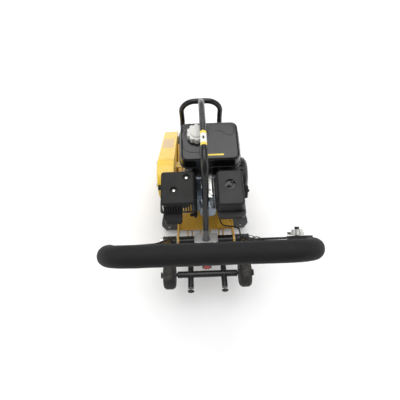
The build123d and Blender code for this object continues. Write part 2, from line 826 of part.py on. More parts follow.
with BuildPart() as recoil_reel:
    with BuildSketch(Plane.XY) as reel_profile:
        with BuildLine():
            Polyline(
                (rope_x - 9, 12 + running),
                (rope_x - 9, 34),
                (rope_x - 5, 34),
                (rope_x - 5, 24),
                (rope_x + 5, 24),
                (rope_x + 5, 34),
                (rope_x + 9, 34),
                (rope_x + 9, 12 + running),
                close=True,
            )
        make_face()
    revolve(axis=Axis.X)
recoil_reel.part.locate(Location((0, crank_y, crank_z)))
finish(recoil_reel, "recoil_reel")

grip_plane = toward(Vector(rope_x, 0, 0) + rope_start + rope_dir * 96, rope_dir)
with BuildPart() as starter_grip:
    with BuildSketch(grip_plane) as grip_low:
        SlotOverall(24, 16)
    with BuildSketch(grip_plane.offset(8)) as grip_mid:
        SlotOverall(34, 18)
    loft([grip_low.sketch, grip_mid.sketch])
    with BuildSketch(grip_plane.offset(8)) as grip_bar:
        SlotOverall(18, 16, rotation=90)
        RectangleRounded(18, 62, 8)
    extrude(grip_bar.sketch, amount=16)
    fillet(starter_grip.faces().sort_by(Axis((0, 0, 0), rope_dir))[-1].edges(), 4)
    rod(toward(Vector(rope_x, 0, 0) + rope_start + rope_dir * 12, rope_dir), 2.2, 84)
finish(starter_grip, "starter_grip")

# ---------------------------------------------------------------- fuel tank
tank_mid_x = (tank_x_min + tank_x_max) / 2
tank_mid_y = (tank_y_min + tank_y_max) / 2
tank_width = tank_x_max - tank_x_min
tank_depth = tank_y_max - tank_y_min
tank_seam = 506


def tank_section(z, grow, corner):
    """Rounded rectangle of the tank at a height."""
    with BuildSketch(Plane.XY.offset(z)) as section:
        with Locations((tank_mid_x, tank_mid_y)):
            RectangleRounded(tank_width + 2 * grow, tank_depth + 2 * grow, corner)
    return section.sketch


with BuildPart() as fuel_tank:
    loft([tank_section(tank_seam, -4, 30), tank_section(tank_top, -9, 28)])
    fillet(fuel_tank.faces().sort_by(Axis.Z)[-1].edges(), 13)
    loft([tank_section(tank_bottom, -26, 22), tank_section(tank_seam, -9, 28)])
    extrude(tank_section(tank_seam - 2, 0, 34), amount=4)
    rod(Plane(origin=(cap_x, cap_y, tank_top - 7)), cap_radius + 11, 20, mode=Mode.SUBTRACT)
    rod(Plane(origin=(cap_x, cap_y, tank_top - 9)), 27, 15)
    loft([tank_section(tank_bottom + 3, -30, 20), tank_section(tank_seam, -13, 26)], mode=Mode.SUBTRACT)
    loft([tank_section(tank_seam, -13, 26), tank_section(tank_top - 11, -20, 22)], mode=Mode.SUBTRACT)
    for slot_x in (20, 50):
        span((slot_x, slot_x + 18), (-4, 1), (tank_top - 3, tank_top + 1), mode=Mode.SUBTRACT)
    rod(Plane(origin=(cap_x, cap_y, tank_top - 1.5)), cap_radius + 22, 20, mode=Mode.SUBTRACT)
    rod(Plane(origin=(cap_x, cap_y, tank_top - 14)), 24, 24, mode=Mode.SUBTRACT)
finish(fuel_tank, "fuel_tank")

with BuildPart() as fuel_cap:
    with BuildSketch(Plane.XY.offset(tank_top - 5)) as cap_skirt:
        with Locations((cap_x, cap_y)):
            Circle(cap_radius)
            with PolarLocations(cap_radius + 3.5, 10):
                Circle(8, mode=Mode.SUBTRACT)
    extrude(cap_skirt.sketch, amount=27)
    rod(Plane(origin=(cap_x, cap_y, tank_top + 22)), 26, 5)
    fillet(fuel_cap.edges().group_by(Axis.Z)[-1], 2)
    rod(Plane(origin=(cap_x, cap_y, tank_top - 5)), 28, 12, mode=Mode.SUBTRACT)
    rod(Plane(origin=(cap_x, cap_y, tank_top - 12)), 23.5, 20)
finish(fuel_cap, "fuel_cap")

# Tank brackets, cable bracket and the clamps of the protection frame
with BuildPart() as brackets:
    for strut_x in (-50, 40):
        span((strut_x, strut_x + 22), (crank_y - 40, crank_y + 34), (crank_z + 82, crank_z + 86))
        span((strut_x, strut_x + 22), (crank_y + 26, crank_y + 30), (crank_z + 86, tank_bottom - 4))
        span((strut_x, strut_x + 22), (crank_y + 10, crank_y + 74), (tank_bottom - 4, tank_bottom))
        span((strut_x, strut_x + 22), (crank_y - 14, crank_y + 10), (tank_bottom - 4, tank_bottom))
    span((52, 118), (-352, -349), (deck_top, 286))
    span((52, 118), (-349, -322), (deck_top, deck_top + 3))
    span((52, 118), (-372, -352), (283, 286))
    with Locations((80, -362, 286)):
        Hole(4, 4)
    for clamp_x in (-hoop_half, hoop_half):
        span((clamp_x - 20, clamp_x + 20), (90, 112), (hoop_foot_z - 19, deck_bottom))
        rod(toward((clamp_x, 60, hoop_foot_z), (0, 1, 0)), hoop_radius, 90, mode=Mode.SUBTRACT)
finish(brackets, "brackets")

# ---------------------------------------------------------------- exhaust
outlet_y = -250.75
with BuildPart() as muffler:
    with BuildSketch(Plane.XY.offset(434)) as muffler_low:
        with Locations((-116, -276)):
            RectangleRounded(114, 116, 24)
    extrude(amount=74)
    fillet(muffler.faces().filter_by(Axis.Z).edges(), 9)
    with BuildSketch(Plane.XY.offset(402)) as deflector:
        with Locations((-134, -358)):
            RectangleRounded(74, 64, 12)
    extrude(deflector.sketch, amount=46)
    pipe_start = cylinder_plane(152, -60, 8).origin
    rod(toward(pipe_start, (-1, 0, 0), (0, 1, 0)), 16, 26)
    span((-104, -72), (-300, -264), (404, 440))
    rod(toward((-170, outlet_y, 470), (-1, 0, 0), (0, 1, 0)), 11, 22)
finish(muffler, "muffler")

cover_low = 455
cover_high = 528


def cover_section(z, x_range, y_range, corner):
    """Rounded rectangle at a height, between two values on each axis."""
    with BuildSketch(Plane.XY.offset(z)) as section:
        with Locations(((x_range[0] + x_range[1]) / 2, (y_range[0] + y_range[1]) / 2)):
            RectangleRounded(x_range[1] - x_range[0], y_range[1] - y_range[0], corner)
    return section.sketch


def inset(side, amount):
    """A range shortened by the same amount at both ends."""
    return (side[0] + amount, side[1] - amount)


cover_x = (-184, -32)
cover_y = (-362, -199)
muffler_screw_spots = [(-73, -239), (-123, -294)]
with BuildPart() as muffler_cover:
    loft(
        [
            cover_section(cover_low, cover_x, cover_y, 12),
            cover_section(cover_high, inset(cover_x, 10), inset(cover_y, 10), 12),
        ]
    )
    fillet(muffler_cover.faces().sort_by(Axis.Z)[-1].edges(), 9)
    loft(
        [
            cover_section(cover_low, inset(cover_x, 2), inset(cover_y, 2), 10),
            cover_section(cover_high - 2, inset(cover_x, 15), inset(cover_y, 15), 10),
        ],
        mode=Mode.SUBTRACT,
    )
    rod(toward((-174, outlet_y, 470), (-1, 0, 0), (0, 1, 0)), 12, 16, mode=Mode.SUBTRACT)
    with Locations(*[(x, y, cover_high) for x, y in muffler_screw_spots]):
        Hole(16, 3)
    for screw_x, screw_y in muffler_screw_spots:
        cup = Plane(origin=(screw_x, screw_y, cover_high - 9))
        ring(cup, 18, 16, 8.5)
        ring(cup, 17, m6, 2)
    slot_z = (cover_low + 10, cover_high - 11)
    for slot in range(14):
        slot_y = cover_y[0] + 14 + 10 * slot
        span((cover_x[0] - 4, cover_x[0] + 14), (slot_y, slot_y + 4.5), slot_z, mode=Mode.SUBTRACT)
        span((cover_x[1] - 14, cover_x[1] + 4), (slot_y, slot_y + 4.5), slot_z, mode=Mode.SUBTRACT)
    for slot in range(13):
        slot_x = cover_x[0] + 14 + 10 * slot
        span((slot_x, slot_x + 4.5), (cover_y[0] - 4, cover_y[0] + 15), slot_z, mode=Mode.SUBTRACT)
        span((slot_x, slot_x + 4.5), (cover_y[1] - 14, cover_y[1] + 4), slot_z, mode=Mode.SUBTRACT)
finish(muffler_cover, "muffler_cover")

# ---------------------------------------------------------------- intake
cleaner_x = (42, 160)
cleaner_y = (-370, -202)
nut_x = 101
nut_y = -274
with BuildPart() as air_cleaner_base:
    extrude(cover_section(440, (50, 162), (-390, -318), 18), amount=18)
    extrude(cover_section(458, (46, 162), (-390, -208), 18), amount=8)
    extrude(cover_section(466, cleaner_x, cleaner_y, 18), amount=6)
    rod(Plane(origin=(88, -272, 430)), 19, 28)
    rod(Plane(origin=(88, -272, 430)), 14, 42, mode=Mode.SUBTRACT)
    rod(Plane(origin=(nut_x, nut_y, 466)), m6, 62)
finish(air_cleaner_base, "air_cleaner_base")

with BuildPart() as filter_element:
    with BuildSketch(Plane.XY.offset(473)) as foam_ring:
        with Locations((101, -286)):
            RectangleRounded(92, 132, 16)
            RectangleRounded(64, 104, 10, mode=Mode.SUBTRACT)
    extrude(amount=40)
finish(filter_element, "filter_element")

with BuildPart() as air_cleaner_cover:
    loft(
        [
            cover_section(472, cleaner_x, cleaner_y, 18),
            cover_section(528, inset(cleaner_x, 7), inset(cleaner_y, 7), 18),
        ]
    )
    fillet(air_cleaner_cover.faces().sort_by(Axis.Z)[-1].edges(), 10)
    loft(
        [
            cover_section(472, inset(cleaner_x, 3), inset(cleaner_y, 3), 16),
            cover_section(525, inset(cleaner_x, 14), inset(cleaner_y, 14), 14),
        ],
        mode=Mode.SUBTRACT,
    )
    rod(Plane(origin=(nut_x, nut_y, 515)), 24, 12)
    rod(Plane(origin=(nut_x, nut_y, 518)), 21, 20, mode=Mode.SUBTRACT)
    rod(Plane(origin=(nut_x, nut_y, 500)), m6 + 0.2, 30, mode=Mode.SUBTRACT)
    nut_low = 518 + running
    ring(Plane(origin=(nut_x, nut_y, nut_low)), 8, m6, 9)
    for wing_side in (-1, 1):
        wing_dir = Vector(0.75, 0.66, 0) * wing_side
        wing_centre = Vector(nut_x, nut_y, nut_low + 9) + wing_dir * 12
        with BuildSketch(Plane(origin=wing_centre, x_dir=wing_dir, z_dir=(0.66, -0.75, 0))) as wing:
            Ellipse(7, 7)
        extrude(wing.sketch, amount=2, both=True)
finish(air_cleaner_cover, "air_cleaner_cover")

head_port = cylinder_plane(152, 60, 8).origin
with BuildPart() as carburettor:
    rod(toward(head_port + Vector(6, 0, 0), (1, 0, 0), (0, 1, 0)), 21, 34)
    span((72, 96), (head_port.Y - 24, head_port.Y + 22), (head_port.Z - 34, head_port.Z + 16))
    rod(Plane(origin=(84, head_port.Y, head_port.Z - 62)), 19, 30)
    rod(toward(head_port + Vector(4, 0, 0), (1, 0, 0), (0, 1, 0)), 10, 40, mode=Mode.SUBTRACT)
    rod(Plane(origin=(74, head_port.Y - 12, head_port.Z - 40)), 2.55, 80, mode=Mode.SUBTRACT)
    rod(Plane(origin=(88, -272, head_port.Z + 12)), 17, 430 - head_port.Z - 12)
    with BuildSketch(toward(head_port, (1, 0, 0), (0, 1, 0))) as insulator:
        Rectangle(54, 40)
        chamfer(insulator.vertices(), 8)
        Circle(10, mode=Mode.SUBTRACT)
    extrude(insulator.sketch, amount=6 - running)
finish(carburettor, "carburettor")

throttle_axis = Vector(74, head_port.Y - 12, head_port.Z)
with BuildPart() as throttle_arm:
    rod(Plane(origin=(74, throttle_axis.Y, head_port.Z - 30)), 2.5, 54)
    with BuildSketch(Plane(origin=(74, throttle_axis.Y, head_port.Z + 22))) as arm_plate:
        Circle(6)
        with Locations((0, -14)):
            Rectangle(9, 28)
        with Locations((0, -25)):
            Circle(1.5, mode=Mode.SUBTRACT)
    extrude(arm_plate.sketch, amount=2)
finish(throttle_arm, "throttle_arm")

choke_axis = Vector(100, head_port.Y + 8, head_port.Z + 6)
with BuildPart() as choke_lever:
    rod(toward((100, choke_axis.Y, choke_axis.Z), (1, 0, 0), (0, 1, 0)), 4, 8)
    with BuildSketch(along_x(108, choke_axis.Y, choke_axis.Z)) as choke_blade:
        Circle(8)
        with Locations((-18, 0)):
            Rectangle(36, 9)
        with Locations((-38, 0)):
            Circle(7)
    extrude(choke_blade.sketch, amount=4)
finish(choke_lever, "choke_lever")

valve_axis = Vector(100, head_port.Y + 8, head_port.Z - 27)
with BuildPart() as fuel_valve_lever:
    rod(toward((96, valve_axis.Y, valve_axis.Z), (1, 0, 0), (0, 1, 0)), 5, 8)
    with BuildSketch(along_x(104, valve_axis.Y, valve_axis.Z)) as valve_blade:
        Circle(8)
        with Locations((-14, 0)):
            Rectangle(28, 10)
    extrude(valve_blade.sketch, amount=5)
finish(fuel_valve_lever, "fuel_valve_lever")

with BuildPart() as fuel_hose:
    with BuildLine() as hose_path:
        Spline(
            (68, -150, tank_bottom),
            (67, -170, tank_bottom - 18),
            (67, -225, 428),
            (72, -247, 408),
            (80, head_port.Y + 22, head_port.Z - 9),
            tangents=((0, 0, -1), (0, -1, 0)),
        )
    with BuildSketch(Plane(origin=hose_path.line @ 0, z_dir=hose_path.line % 0)) as hose_section:
        Circle(4)
    sweep(hose_section.sketch, path=hose_path.line)
finish(fuel_hose, "fuel_hose")

# Control bracket with its springs, between the muffler and the air cleaner
with BuildPart() as control_linkage:
    span((-26, 38), (crank_y - 48, crank_y - 8), (crank_z + 82, crank_z + 84.5))
    span((-4, 30), (-300, -188), (457, 459.5))
    span((-4, 30), (-190.5, -188), (crank_z + 82, 457))
    rod(Plane(origin=(6, -204, 459.5)), 3.5, 14)
    rod(Plane(origin=(22, -262, 459.5)), 3.5, 10)
    span((2, 26), (-299, -286), (459.5, 464))
    coil(toward((6, -212, 476), (0, -1, -0.06)), 4.2, 0.9, 3.2, 60)
    rod(toward((18, -216, 472), (0, -1, 0)), 1.4, 66)
finish(control_linkage, "control_linkage")

with BuildPart() as engine_switch:
    span((108, 132), (-260, -244), (360, 392))
    span((111, 129), (-262, -260), (363, 389))
finish(engine_switch, "engine_switch")

with BuildPart() as switch_knob:
    rod(toward((120, -262, 376), (0, -1, 0)), 8, 8)
    span((118, 122), (-272, -262), (368, 386))
finish(switch_knob, "switch_knob")

# ---------------------------------------------------------------- protection frame
with BuildPart() as protection_frame:
    with BuildLine() as hoop_path:
        FilletPolyline(
            (-hoop_half, 82, hoop_foot_z),
            (-hoop_half, hoop_y, hoop_foot_z),
            (-hoop_half, hoop_y, hoop_top),
            (hoop_half, hoop_y, hoop_top),
            (hoop_half, hoop_y, hoop_foot_z),
            (hoop_half, 82, hoop_foot_z),
            radius=(46, 76, 76, 46),
        )
    with BuildSketch(toward((-hoop_half, 82, hoop_foot_z), (0, 1, 0))) as hoop_section:
        Circle(hoop_radius)
    sweep(hoop_section.sketch, path=hoop_path.line)
    with BuildLine() as bar_path:
        FilletPolyline(
            (0, hoop_y - 4, hoop_top + 2),
            (0, 110, 566),
            (0, -60, 634),
            (0, -262, 694),
            (0, bar_foot_y + 9, bar_foot_z + 18),
            radius=(200, 320, 70),
        )
    start_dir = Vector(0, 110 - (hoop_y - 4), 566 - (hoop_top + 2))
    with BuildSketch(toward((0, hoop_y - 4, hoop_top + 2), start_dir)) as bar_section:
        Circle(bar_radius)
    sweep(bar_section.sketch, path=bar_path.line)
    end_dir = bar_path.line % 1
    with BuildSketch(toward(bar_path.line @ 1 - end_dir * 10, end_dir)) as neck_top:
        Ellipse(bar_radius, bar_radius - 0.5)
    with BuildSketch(toward(bar_path.line @ 1 + end_dir * 22, end_dir)) as neck_low:
        Ellipse(18, 7)
    loft([neck_top.sketch, neck_low.sketch])
    foot_low = pivot_z + 22
    span((-46, 46), (bar_foot_y - 28, bar_foot_y + 28), (foot_low, foot_low + 6))
    for foot_bolt_x in (-38, 38):
        rod(Plane(origin=(foot_bolt_x, bar_foot_y - 18, foot_low)), m10, 6, mode=Mode.SUBTRACT)
finish(protection_frame, "protection_frame")

# ---------------------------------------------------------------- handle
eye_in = 140
eye_out = 190
with BuildPart() as handle_tube:
    with BuildLine(handle_plane) as handle_path:
        FilletPolyline(
            (-handle_half, 0),
            (-handle_half, 440),
            (-handle_top_half, 530),
            (-handle_top_half, handle_length),
            (handle_top_half, handle_length),
            (handle_top_half, 530),
            (handle_half, 440),
            (handle_half, 0),
            radius=(60, 60, 70, 70, 60, 60),
        )
    path_start = handle_path.line @ 0
    with BuildSketch(toward(path_start, handle_path.line % 0)) as handle_section:
        Circle(handle_radius)
    sweep(handle_section.sketch, path=handle_path.line)
    for eye_side in (-1, 1):
        eye_plane = along_x(min(eye_side * eye_in, eye_side * eye_out), pivot_y, pivot_z)
        rod(eye_plane, 22, eye_out - eye_in)
        rod(eye_plane, 17, eye_out - eye_in, mode=Mode.SUBTRACT)
finish(handle_tube, "handle_tube")

with BuildPart() as pivot_bushes:
    for bush_side in (-1, 1):
        bush_plane = along_x(min(bush_side * (eye_in - 4), bush_side * (eye_out + 4)), pivot_y, pivot_z)
        ring(bush_plane, 17, m16 + running, eye_out - eye_in + 8)
        for collar_x in (bush_side * (eye_in - 4), bush_side * eye_out):
            collar_start = min(collar_x, collar_x + bush_side * 4)
            ring(along_x(collar_start, pivot_y, pivot_z), 23, m16 + running, 4)
finish(pivot_bushes, "pivot_bushes")

with BuildPart() as grip_foam:
    with BuildLine(handle_plane) as grip_path:
        FilletPolyline(
            (-handle_top_half, grip_start),
            (-handle_top_half, handle_length),
            (handle_top_half, handle_length),
            (handle_top_half, grip_start),
            radius=70,
        )
    with BuildSketch(toward(grip_path.line @ 0, grip_path.line % 0)) as grip_section:
        Circle(grip_radius)
        Circle(handle_radius, mode=Mode.SUBTRACT)
    sweep(grip_section.sketch, path=grip_path.line)
finish(grip_foam, "grip_foam")

# Throttle control on the right arm
clamp_centre = handle_origin + handle_up * 592 + Vector(handle_top_half, 0, 0)
post_centre = clamp_centre + Vector(-18, 0, 0)
with BuildPart() as throttle_clamp:
    ring(toward(clamp_centre - handle_up * 16, handle_up), 22, handle_radius, 32)
    with BuildSketch(toward(clamp_centre + handle_front * 16, handle_front)) as clamp_block:
        with Locations((-12, 0)):
            RectangleRounded(62, 34, 8)
    extrude(clamp_block.sketch, amount=12)
    rod(toward(post_centre + handle_front * 26, handle_front), 6, 26)
finish(throttle_clamp, "throttle_clamp")

with BuildPart() as throttle_lever:
    with BuildSketch(toward(post_centre + handle_front * 30, handle_front)) as lever_plate:
        Circle(17)
        with Locations((-2, 34)):
            RectangleRounded(15, 58, 6)
        Circle(6 + running, mode=Mode.SUBTRACT)
    extrude(lever_plate.sketch, amount=7)
    ring(toward(post_centre + handle_front * 37, handle_front), 14, 6 + running, 8)
finish(throttle_lever, "throttle_lever")

with BuildPart() as throttle_cable:
    with BuildLine() as cable_path:
        Spline(
            (142, -392, 316),
            (122, -374, 300),
            (84, -370, 304),
            (64, -358, 340),
            (64, -342, 395),
            (74, -328, 425),
        )
    with BuildSketch(Plane(origin=cable_path.line @ 0, z_dir=cable_path.line % 0)) as cable_section:
        Circle(3)
    sweep(cable_section.sketch, path=cable_path.line)
finish(throttle_cable, "throttle_cable")

# ---------------------------------------------------------------- wheel frame
with BuildPart() as wheel_frame:
    for arm_side in (-1, 1):
        side_x = arm_side * arm_x
        rod(toward(on_arm(0, side_x), arm_dir), arm_radius, arm_length + 66)
        rod(along_x(side_x - 7.5, hinge_y, hinge_z), 15, 15)
        rod(along_x(side_x - 20, hinge_y, hinge_z), m10 + running, 40, mode=Mode.SUBTRACT)
    rod(along_x(-135, axle_y, axle_z), 15, 270)
    rod(along_x(-204, axle_y, axle_z), axle_radius, 408)
    cross = on_arm(100)
    rod(along_x(-arm_x, cross.Y, cross.Z), 10, 2 * arm_x)
    rod(toward(on_arm(78), arm_dir), 12, 44)
    rod(toward(on_arm(70), arm_dir), plunger_radius + running, 60, mode=Mode.SUBTRACT)
    for clear_x in (-1, 1):
        span(
            (clear_x * (arm_x + 7.5), clear_x * (arm_x + 16)),
            (hinge_y - 22, hinge_y + 22),
            (hinge_z - 22, hinge_z + 22),
            mode=Mode.SUBTRACT,
        )
        span(
            (clear_x * (arm_x - 7.5), clear_x * (arm_x - 16)),
            (hinge_y - 22, hinge_y + 22),
            (hinge_z - 22, hinge_z + 22),
            mode=Mode.SUBTRACT,
        )
finish(wheel_frame, "wheel_frame")

for wheel_name, wheel_side in (("left", -1), ("right", 1)):
    centre_x = wheel_side * wheel_x
    with BuildPart() as tyre:
        with BuildSketch(Plane.XY) as tyre_profile:
            with BuildLine():
                FilletPolyline(
                    (centre_x - 26, 40),
                    (centre_x - 26, wheel_radius - 8),
                    (centre_x - 15, wheel_radius),
                    (centre_x + 15, wheel_radius),
                    (centre_x + 26, wheel_radius - 8),
                    (centre_x + 26, 40),
                    radius=5,
                    close=True,
                )
            make_face()
        revolve(axis=Axis.X)
    with BuildPart() as wheel:
        add(tyre.part)
        with BuildSketch(Plane.XY) as hub_profile:
            with BuildLine():
                Polyline(
                    (centre_x - 29, axle_radius + running),
                    (centre_x - 29, 16),
                    (centre_x - 16, 20),
                    (centre_x - 24, 40 - running),
                    (centre_x + 24, 40 - running),
                    (centre_x + 16, 20),
                    (centre_x + 29, 16),
                    (centre_x + 29, axle_radius + running),
                    close=True,
                )
            make_face()
        revolve(axis=Axis.X)
    wheel.part.locate(Location((0, axle_y, axle_z)))
    finish(wheel, f"wheel_{wheel_name}")

with BuildPart() as frame_caps:
    for arm_side in (-1, 1):
        rod(toward(on_arm(arm_length + 78, arm_side * arm_x), arm_dir), arm_radius + 1.5, 5)
    fillet(frame_caps.edges().filter_by(GeomType.CIRCLE).sort_by(Axis.Y)[:2], 3)
    for cap_side in (-1, 1):
        rod(toward((cap_side * 205, axle_y, axle_z), (cap_side, 0, 0), (0, 1, 0)), 14, 5)
finish(frame_caps, "frame_caps")

# Drawn pulled back, with its tip just clear of the quadrant
knob_at = 134
with BuildPart() as lock_plunger:
    rod(toward(on_arm(quadrant_out + 0.6), arm_dir), plunger_radius, 62)
    with BuildSketch(toward(on_arm(knob_at), arm_dir)) as knob_outline:
        Circle(22)
        with PolarLocations(25, 8):
            Circle(6, mode=Mode.SUBTRACT)
    extrude(knob_outline.sketch, amount=16)
    rod(toward(on_arm(knob_at - 2), arm_dir), 11, 2)
finish(lock_plunger, "lock_plunger")

# ---------------------------------------------------------------- fasteners
with BuildPart() as fasteners:
    for spot_x, spot_y in mount_spots:
        rod(Plane(origin=(spot_x, spot_y, tower_top)), mount_radius, mount_plate)
        rod(Plane(origin=(spot_x, spot_y, deck_bottom - mount_plate)), mount_radius, mount_plate)
        rod(Plane(origin=(spot_x, spot_y, tower_top - 22)), stud_radius, 22)
        rod(Plane(origin=(spot_x, spot_y, deck_bottom)), stud_radius, 20)
        hex_nut(Plane(origin=(spot_x, spot_y, deck_top)), stud_radius)
        hex_nut(Plane(origin=(spot_x, spot_y, tower_top - 8), z_dir=(0, 0, -1)), stud_radius)
    for bolt_x in (-exciter_bolt_x, exciter_bolt_x):
        for bolt_y in (exciter_y - exciter_bolt_y, exciter_y + exciter_bolt_y):
            hex_bolt(Plane(origin=(bolt_x, bolt_y, base_thick + 16)), m10, 26)
    for bolt_x, bolt_y in engine_bolt_spots:
        hex_bolt(Plane(origin=(bolt_x, bolt_y, deck_top + 13)), m8, 22)
    for screw_x, screw_y in muffler_screw_spots:
        hex_bolt(Plane(origin=(screw_x, screw_y, cover_high - 7)), m6, 10)
    for foot_bolt_x in (-38, 38):
        hex_bolt(Plane(origin=(foot_bolt_x, bar_foot_y - 18, foot_low + 6)), m10, 12)
    for bolt_side in (-1, 1):
        head_plane = toward((bolt_side * (eye_out + 8), pivot_y, pivot_z), (bolt_side, 0, 0), (0, 1, 0))
        hex_bolt(head_plane, m16, eye_out + 8 - 100)
        ring(head_plane.offset(-3), 20, m16, 3)
        rod(along_x(bolt_side * arm_x - 20, hinge_y, hinge_z), m10, 40)
        for clip_x in (bolt_side * arm_x - 17, bolt_side * arm_x + 13):
            rod(along_x(clip_x, hinge_y, hinge_z), 9, 4)
finish(fasteners, "fasteners")
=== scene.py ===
import json
import math

import bpy
from mathutils import Matrix, Vector


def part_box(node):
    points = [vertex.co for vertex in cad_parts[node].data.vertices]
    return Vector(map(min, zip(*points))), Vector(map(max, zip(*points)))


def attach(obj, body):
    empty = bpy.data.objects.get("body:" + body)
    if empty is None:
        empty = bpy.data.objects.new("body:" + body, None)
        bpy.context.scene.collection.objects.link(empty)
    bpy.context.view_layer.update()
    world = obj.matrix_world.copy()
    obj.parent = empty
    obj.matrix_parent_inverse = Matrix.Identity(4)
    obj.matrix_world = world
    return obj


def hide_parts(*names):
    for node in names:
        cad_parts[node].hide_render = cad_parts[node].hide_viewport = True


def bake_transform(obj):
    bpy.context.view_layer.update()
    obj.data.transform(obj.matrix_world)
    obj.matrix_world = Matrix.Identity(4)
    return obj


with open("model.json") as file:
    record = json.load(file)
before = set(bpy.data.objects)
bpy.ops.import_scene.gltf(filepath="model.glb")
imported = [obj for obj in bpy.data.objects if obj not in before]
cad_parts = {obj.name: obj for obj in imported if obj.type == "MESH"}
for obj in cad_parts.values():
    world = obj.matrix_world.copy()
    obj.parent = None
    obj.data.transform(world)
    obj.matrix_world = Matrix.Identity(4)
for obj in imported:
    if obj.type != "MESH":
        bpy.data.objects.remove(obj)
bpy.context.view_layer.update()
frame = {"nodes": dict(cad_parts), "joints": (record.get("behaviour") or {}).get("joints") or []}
nodes = frame["nodes"]


# ---------------------------------------------------------------- materials


class Graph:
    """A node material built one node at a time. Positions are the object's own, in metres."""

    def __init__(self, name):
        self.material = bpy.data.materials.new(name)
        self.material.use_nodes = True
        self.tree = self.material.node_tree
        self.tree.nodes.clear()
        self.place = self.add("ShaderNodeTexCoord").outputs["Object"]

    def feed(self, socket, value):
        """Link a node's output to a socket, or give the socket a fixed value."""
        if isinstance(value, bpy.types.NodeSocket):
            self.tree.links.new(value, socket)
        else:
            socket.default_value = value

    def add(self, kind, *values, **settings):
        made = self.tree.nodes.new(kind)
        for key, value in settings.items():
            setattr(made, key, value)
        for index, value in enumerate(values):
            if value is not None:
                self.feed(made.inputs[index], value)
        return made

    def math(self, operation, a, b=0.0, clamp=False):
        return self.add("ShaderNodeMath", a, b, operation=operation, use_clamp=clamp).outputs[0]

    def noise(self, scale, detail=3.0, rough=0.55, stretch=None):
        place = self.place
        if stretch is not None:
            place = self.add("ShaderNodeVectorMath", place, stretch, operation="MULTIPLY").outputs[0]
        made = self.add("ShaderNodeTexNoise", place)
        made.inputs["Scale"].default_value = scale
        made.inputs["Detail"].default_value = detail
        made.inputs["Roughness"].default_value = rough
        return made.outputs["Fac"]

    def ramp(self, value, low, high, out_low=0.0, out_high=1.0):
        return self.add("ShaderNodeMapRange", value, low, high, out_low, out_high).outputs[0]

    def mix(self, factor, a, b):
        """A colour mixed from a to b."""
        made = self.add("ShaderNodeMix", factor, data_type="RGBA")
        self.feed(made.inputs[6], a)
        self.feed(made.inputs[7], b)
        return made.outputs[2]

    def between(self, factor, a, b):
        """A plain number mixed from a to b."""
        return self.add("ShaderNodeMix", factor, None, a, b).outputs[0]

    def edge(self, width):
        """1 on sharp edges, 0 on flats."""
        bevel = self.add("ShaderNodeBevel", width, samples=4).outputs[0]
        normal = self.add("ShaderNodeNewGeometry").outputs["Normal"]
        facing = self.add("ShaderNodeVectorMath", bevel, normal, operation="DOT_PRODUCT").outputs["Value"]
        return self.ramp(facing, 0.985, 0.90)

    def zone(self, centre, axis, radius, low, high, inner=0.0):
        """1 inside a cylinder around an axis, given as its centre, direction, radius and span."""
        axis = Vector(axis).normalized()
        away = self.add("ShaderNodeVectorMath", self.place, tuple(centre), operation="SUBTRACT").outputs[0]
        height = self.add("ShaderNodeVectorMath", away, tuple(axis), operation="DOT_PRODUCT").outputs["Value"]
        cross = self.add("ShaderNodeVectorMath", away, tuple(axis), operation="CROSS_PRODUCT").outputs[0]
        reach = self.add("ShaderNodeVectorMath", cross, operation="LENGTH").outputs["Value"]
        inside = self.math("LESS_THAN", reach, radius)
        if inner > 0:
            inside = self.math("MULTIPLY", inside, self.math("GREATER_THAN", reach, inner))
        above = self.math("GREATER_THAN", height, low)
        below = self.math("LESS_THAN", height, high)
        return self.math("MULTIPLY", inside, self.math("MULTIPLY", above, below))

    def bump(self, height, depth, strength=1.0, under=None):
        """A bumped normal, on top of another one where it is given."""
        made = self.add("ShaderNodeBump", strength, depth)
        self.feed(made.inputs["Height"], height)
        if under is not None:
            self.feed(made.inputs["Normal"], under)
        return made.outputs[0]

    def finished(self, **inputs):
        """The material, with the shader's inputs given by name with _ for spaces."""
        shader = self.tree.nodes.new("ShaderNodeBsdfPrincipled")
        for key, value in inputs.items():
            self.feed(shader.inputs[key.replace("_", " ")], value)
        out = self.tree.nodes.new("ShaderNodeOutputMaterial")
        self.tree.links.new(shader.outputs[0], out.inputs[0])
        return self.material


def rgba(colour):
    return (colour[0], colour[1], colour[2], 1.0)


def tone(colour, factor):
    return tuple(min(1.0, channel * factor) for channel in colour[:3])


dust_colour = (0.30, 0.26, 0.20)


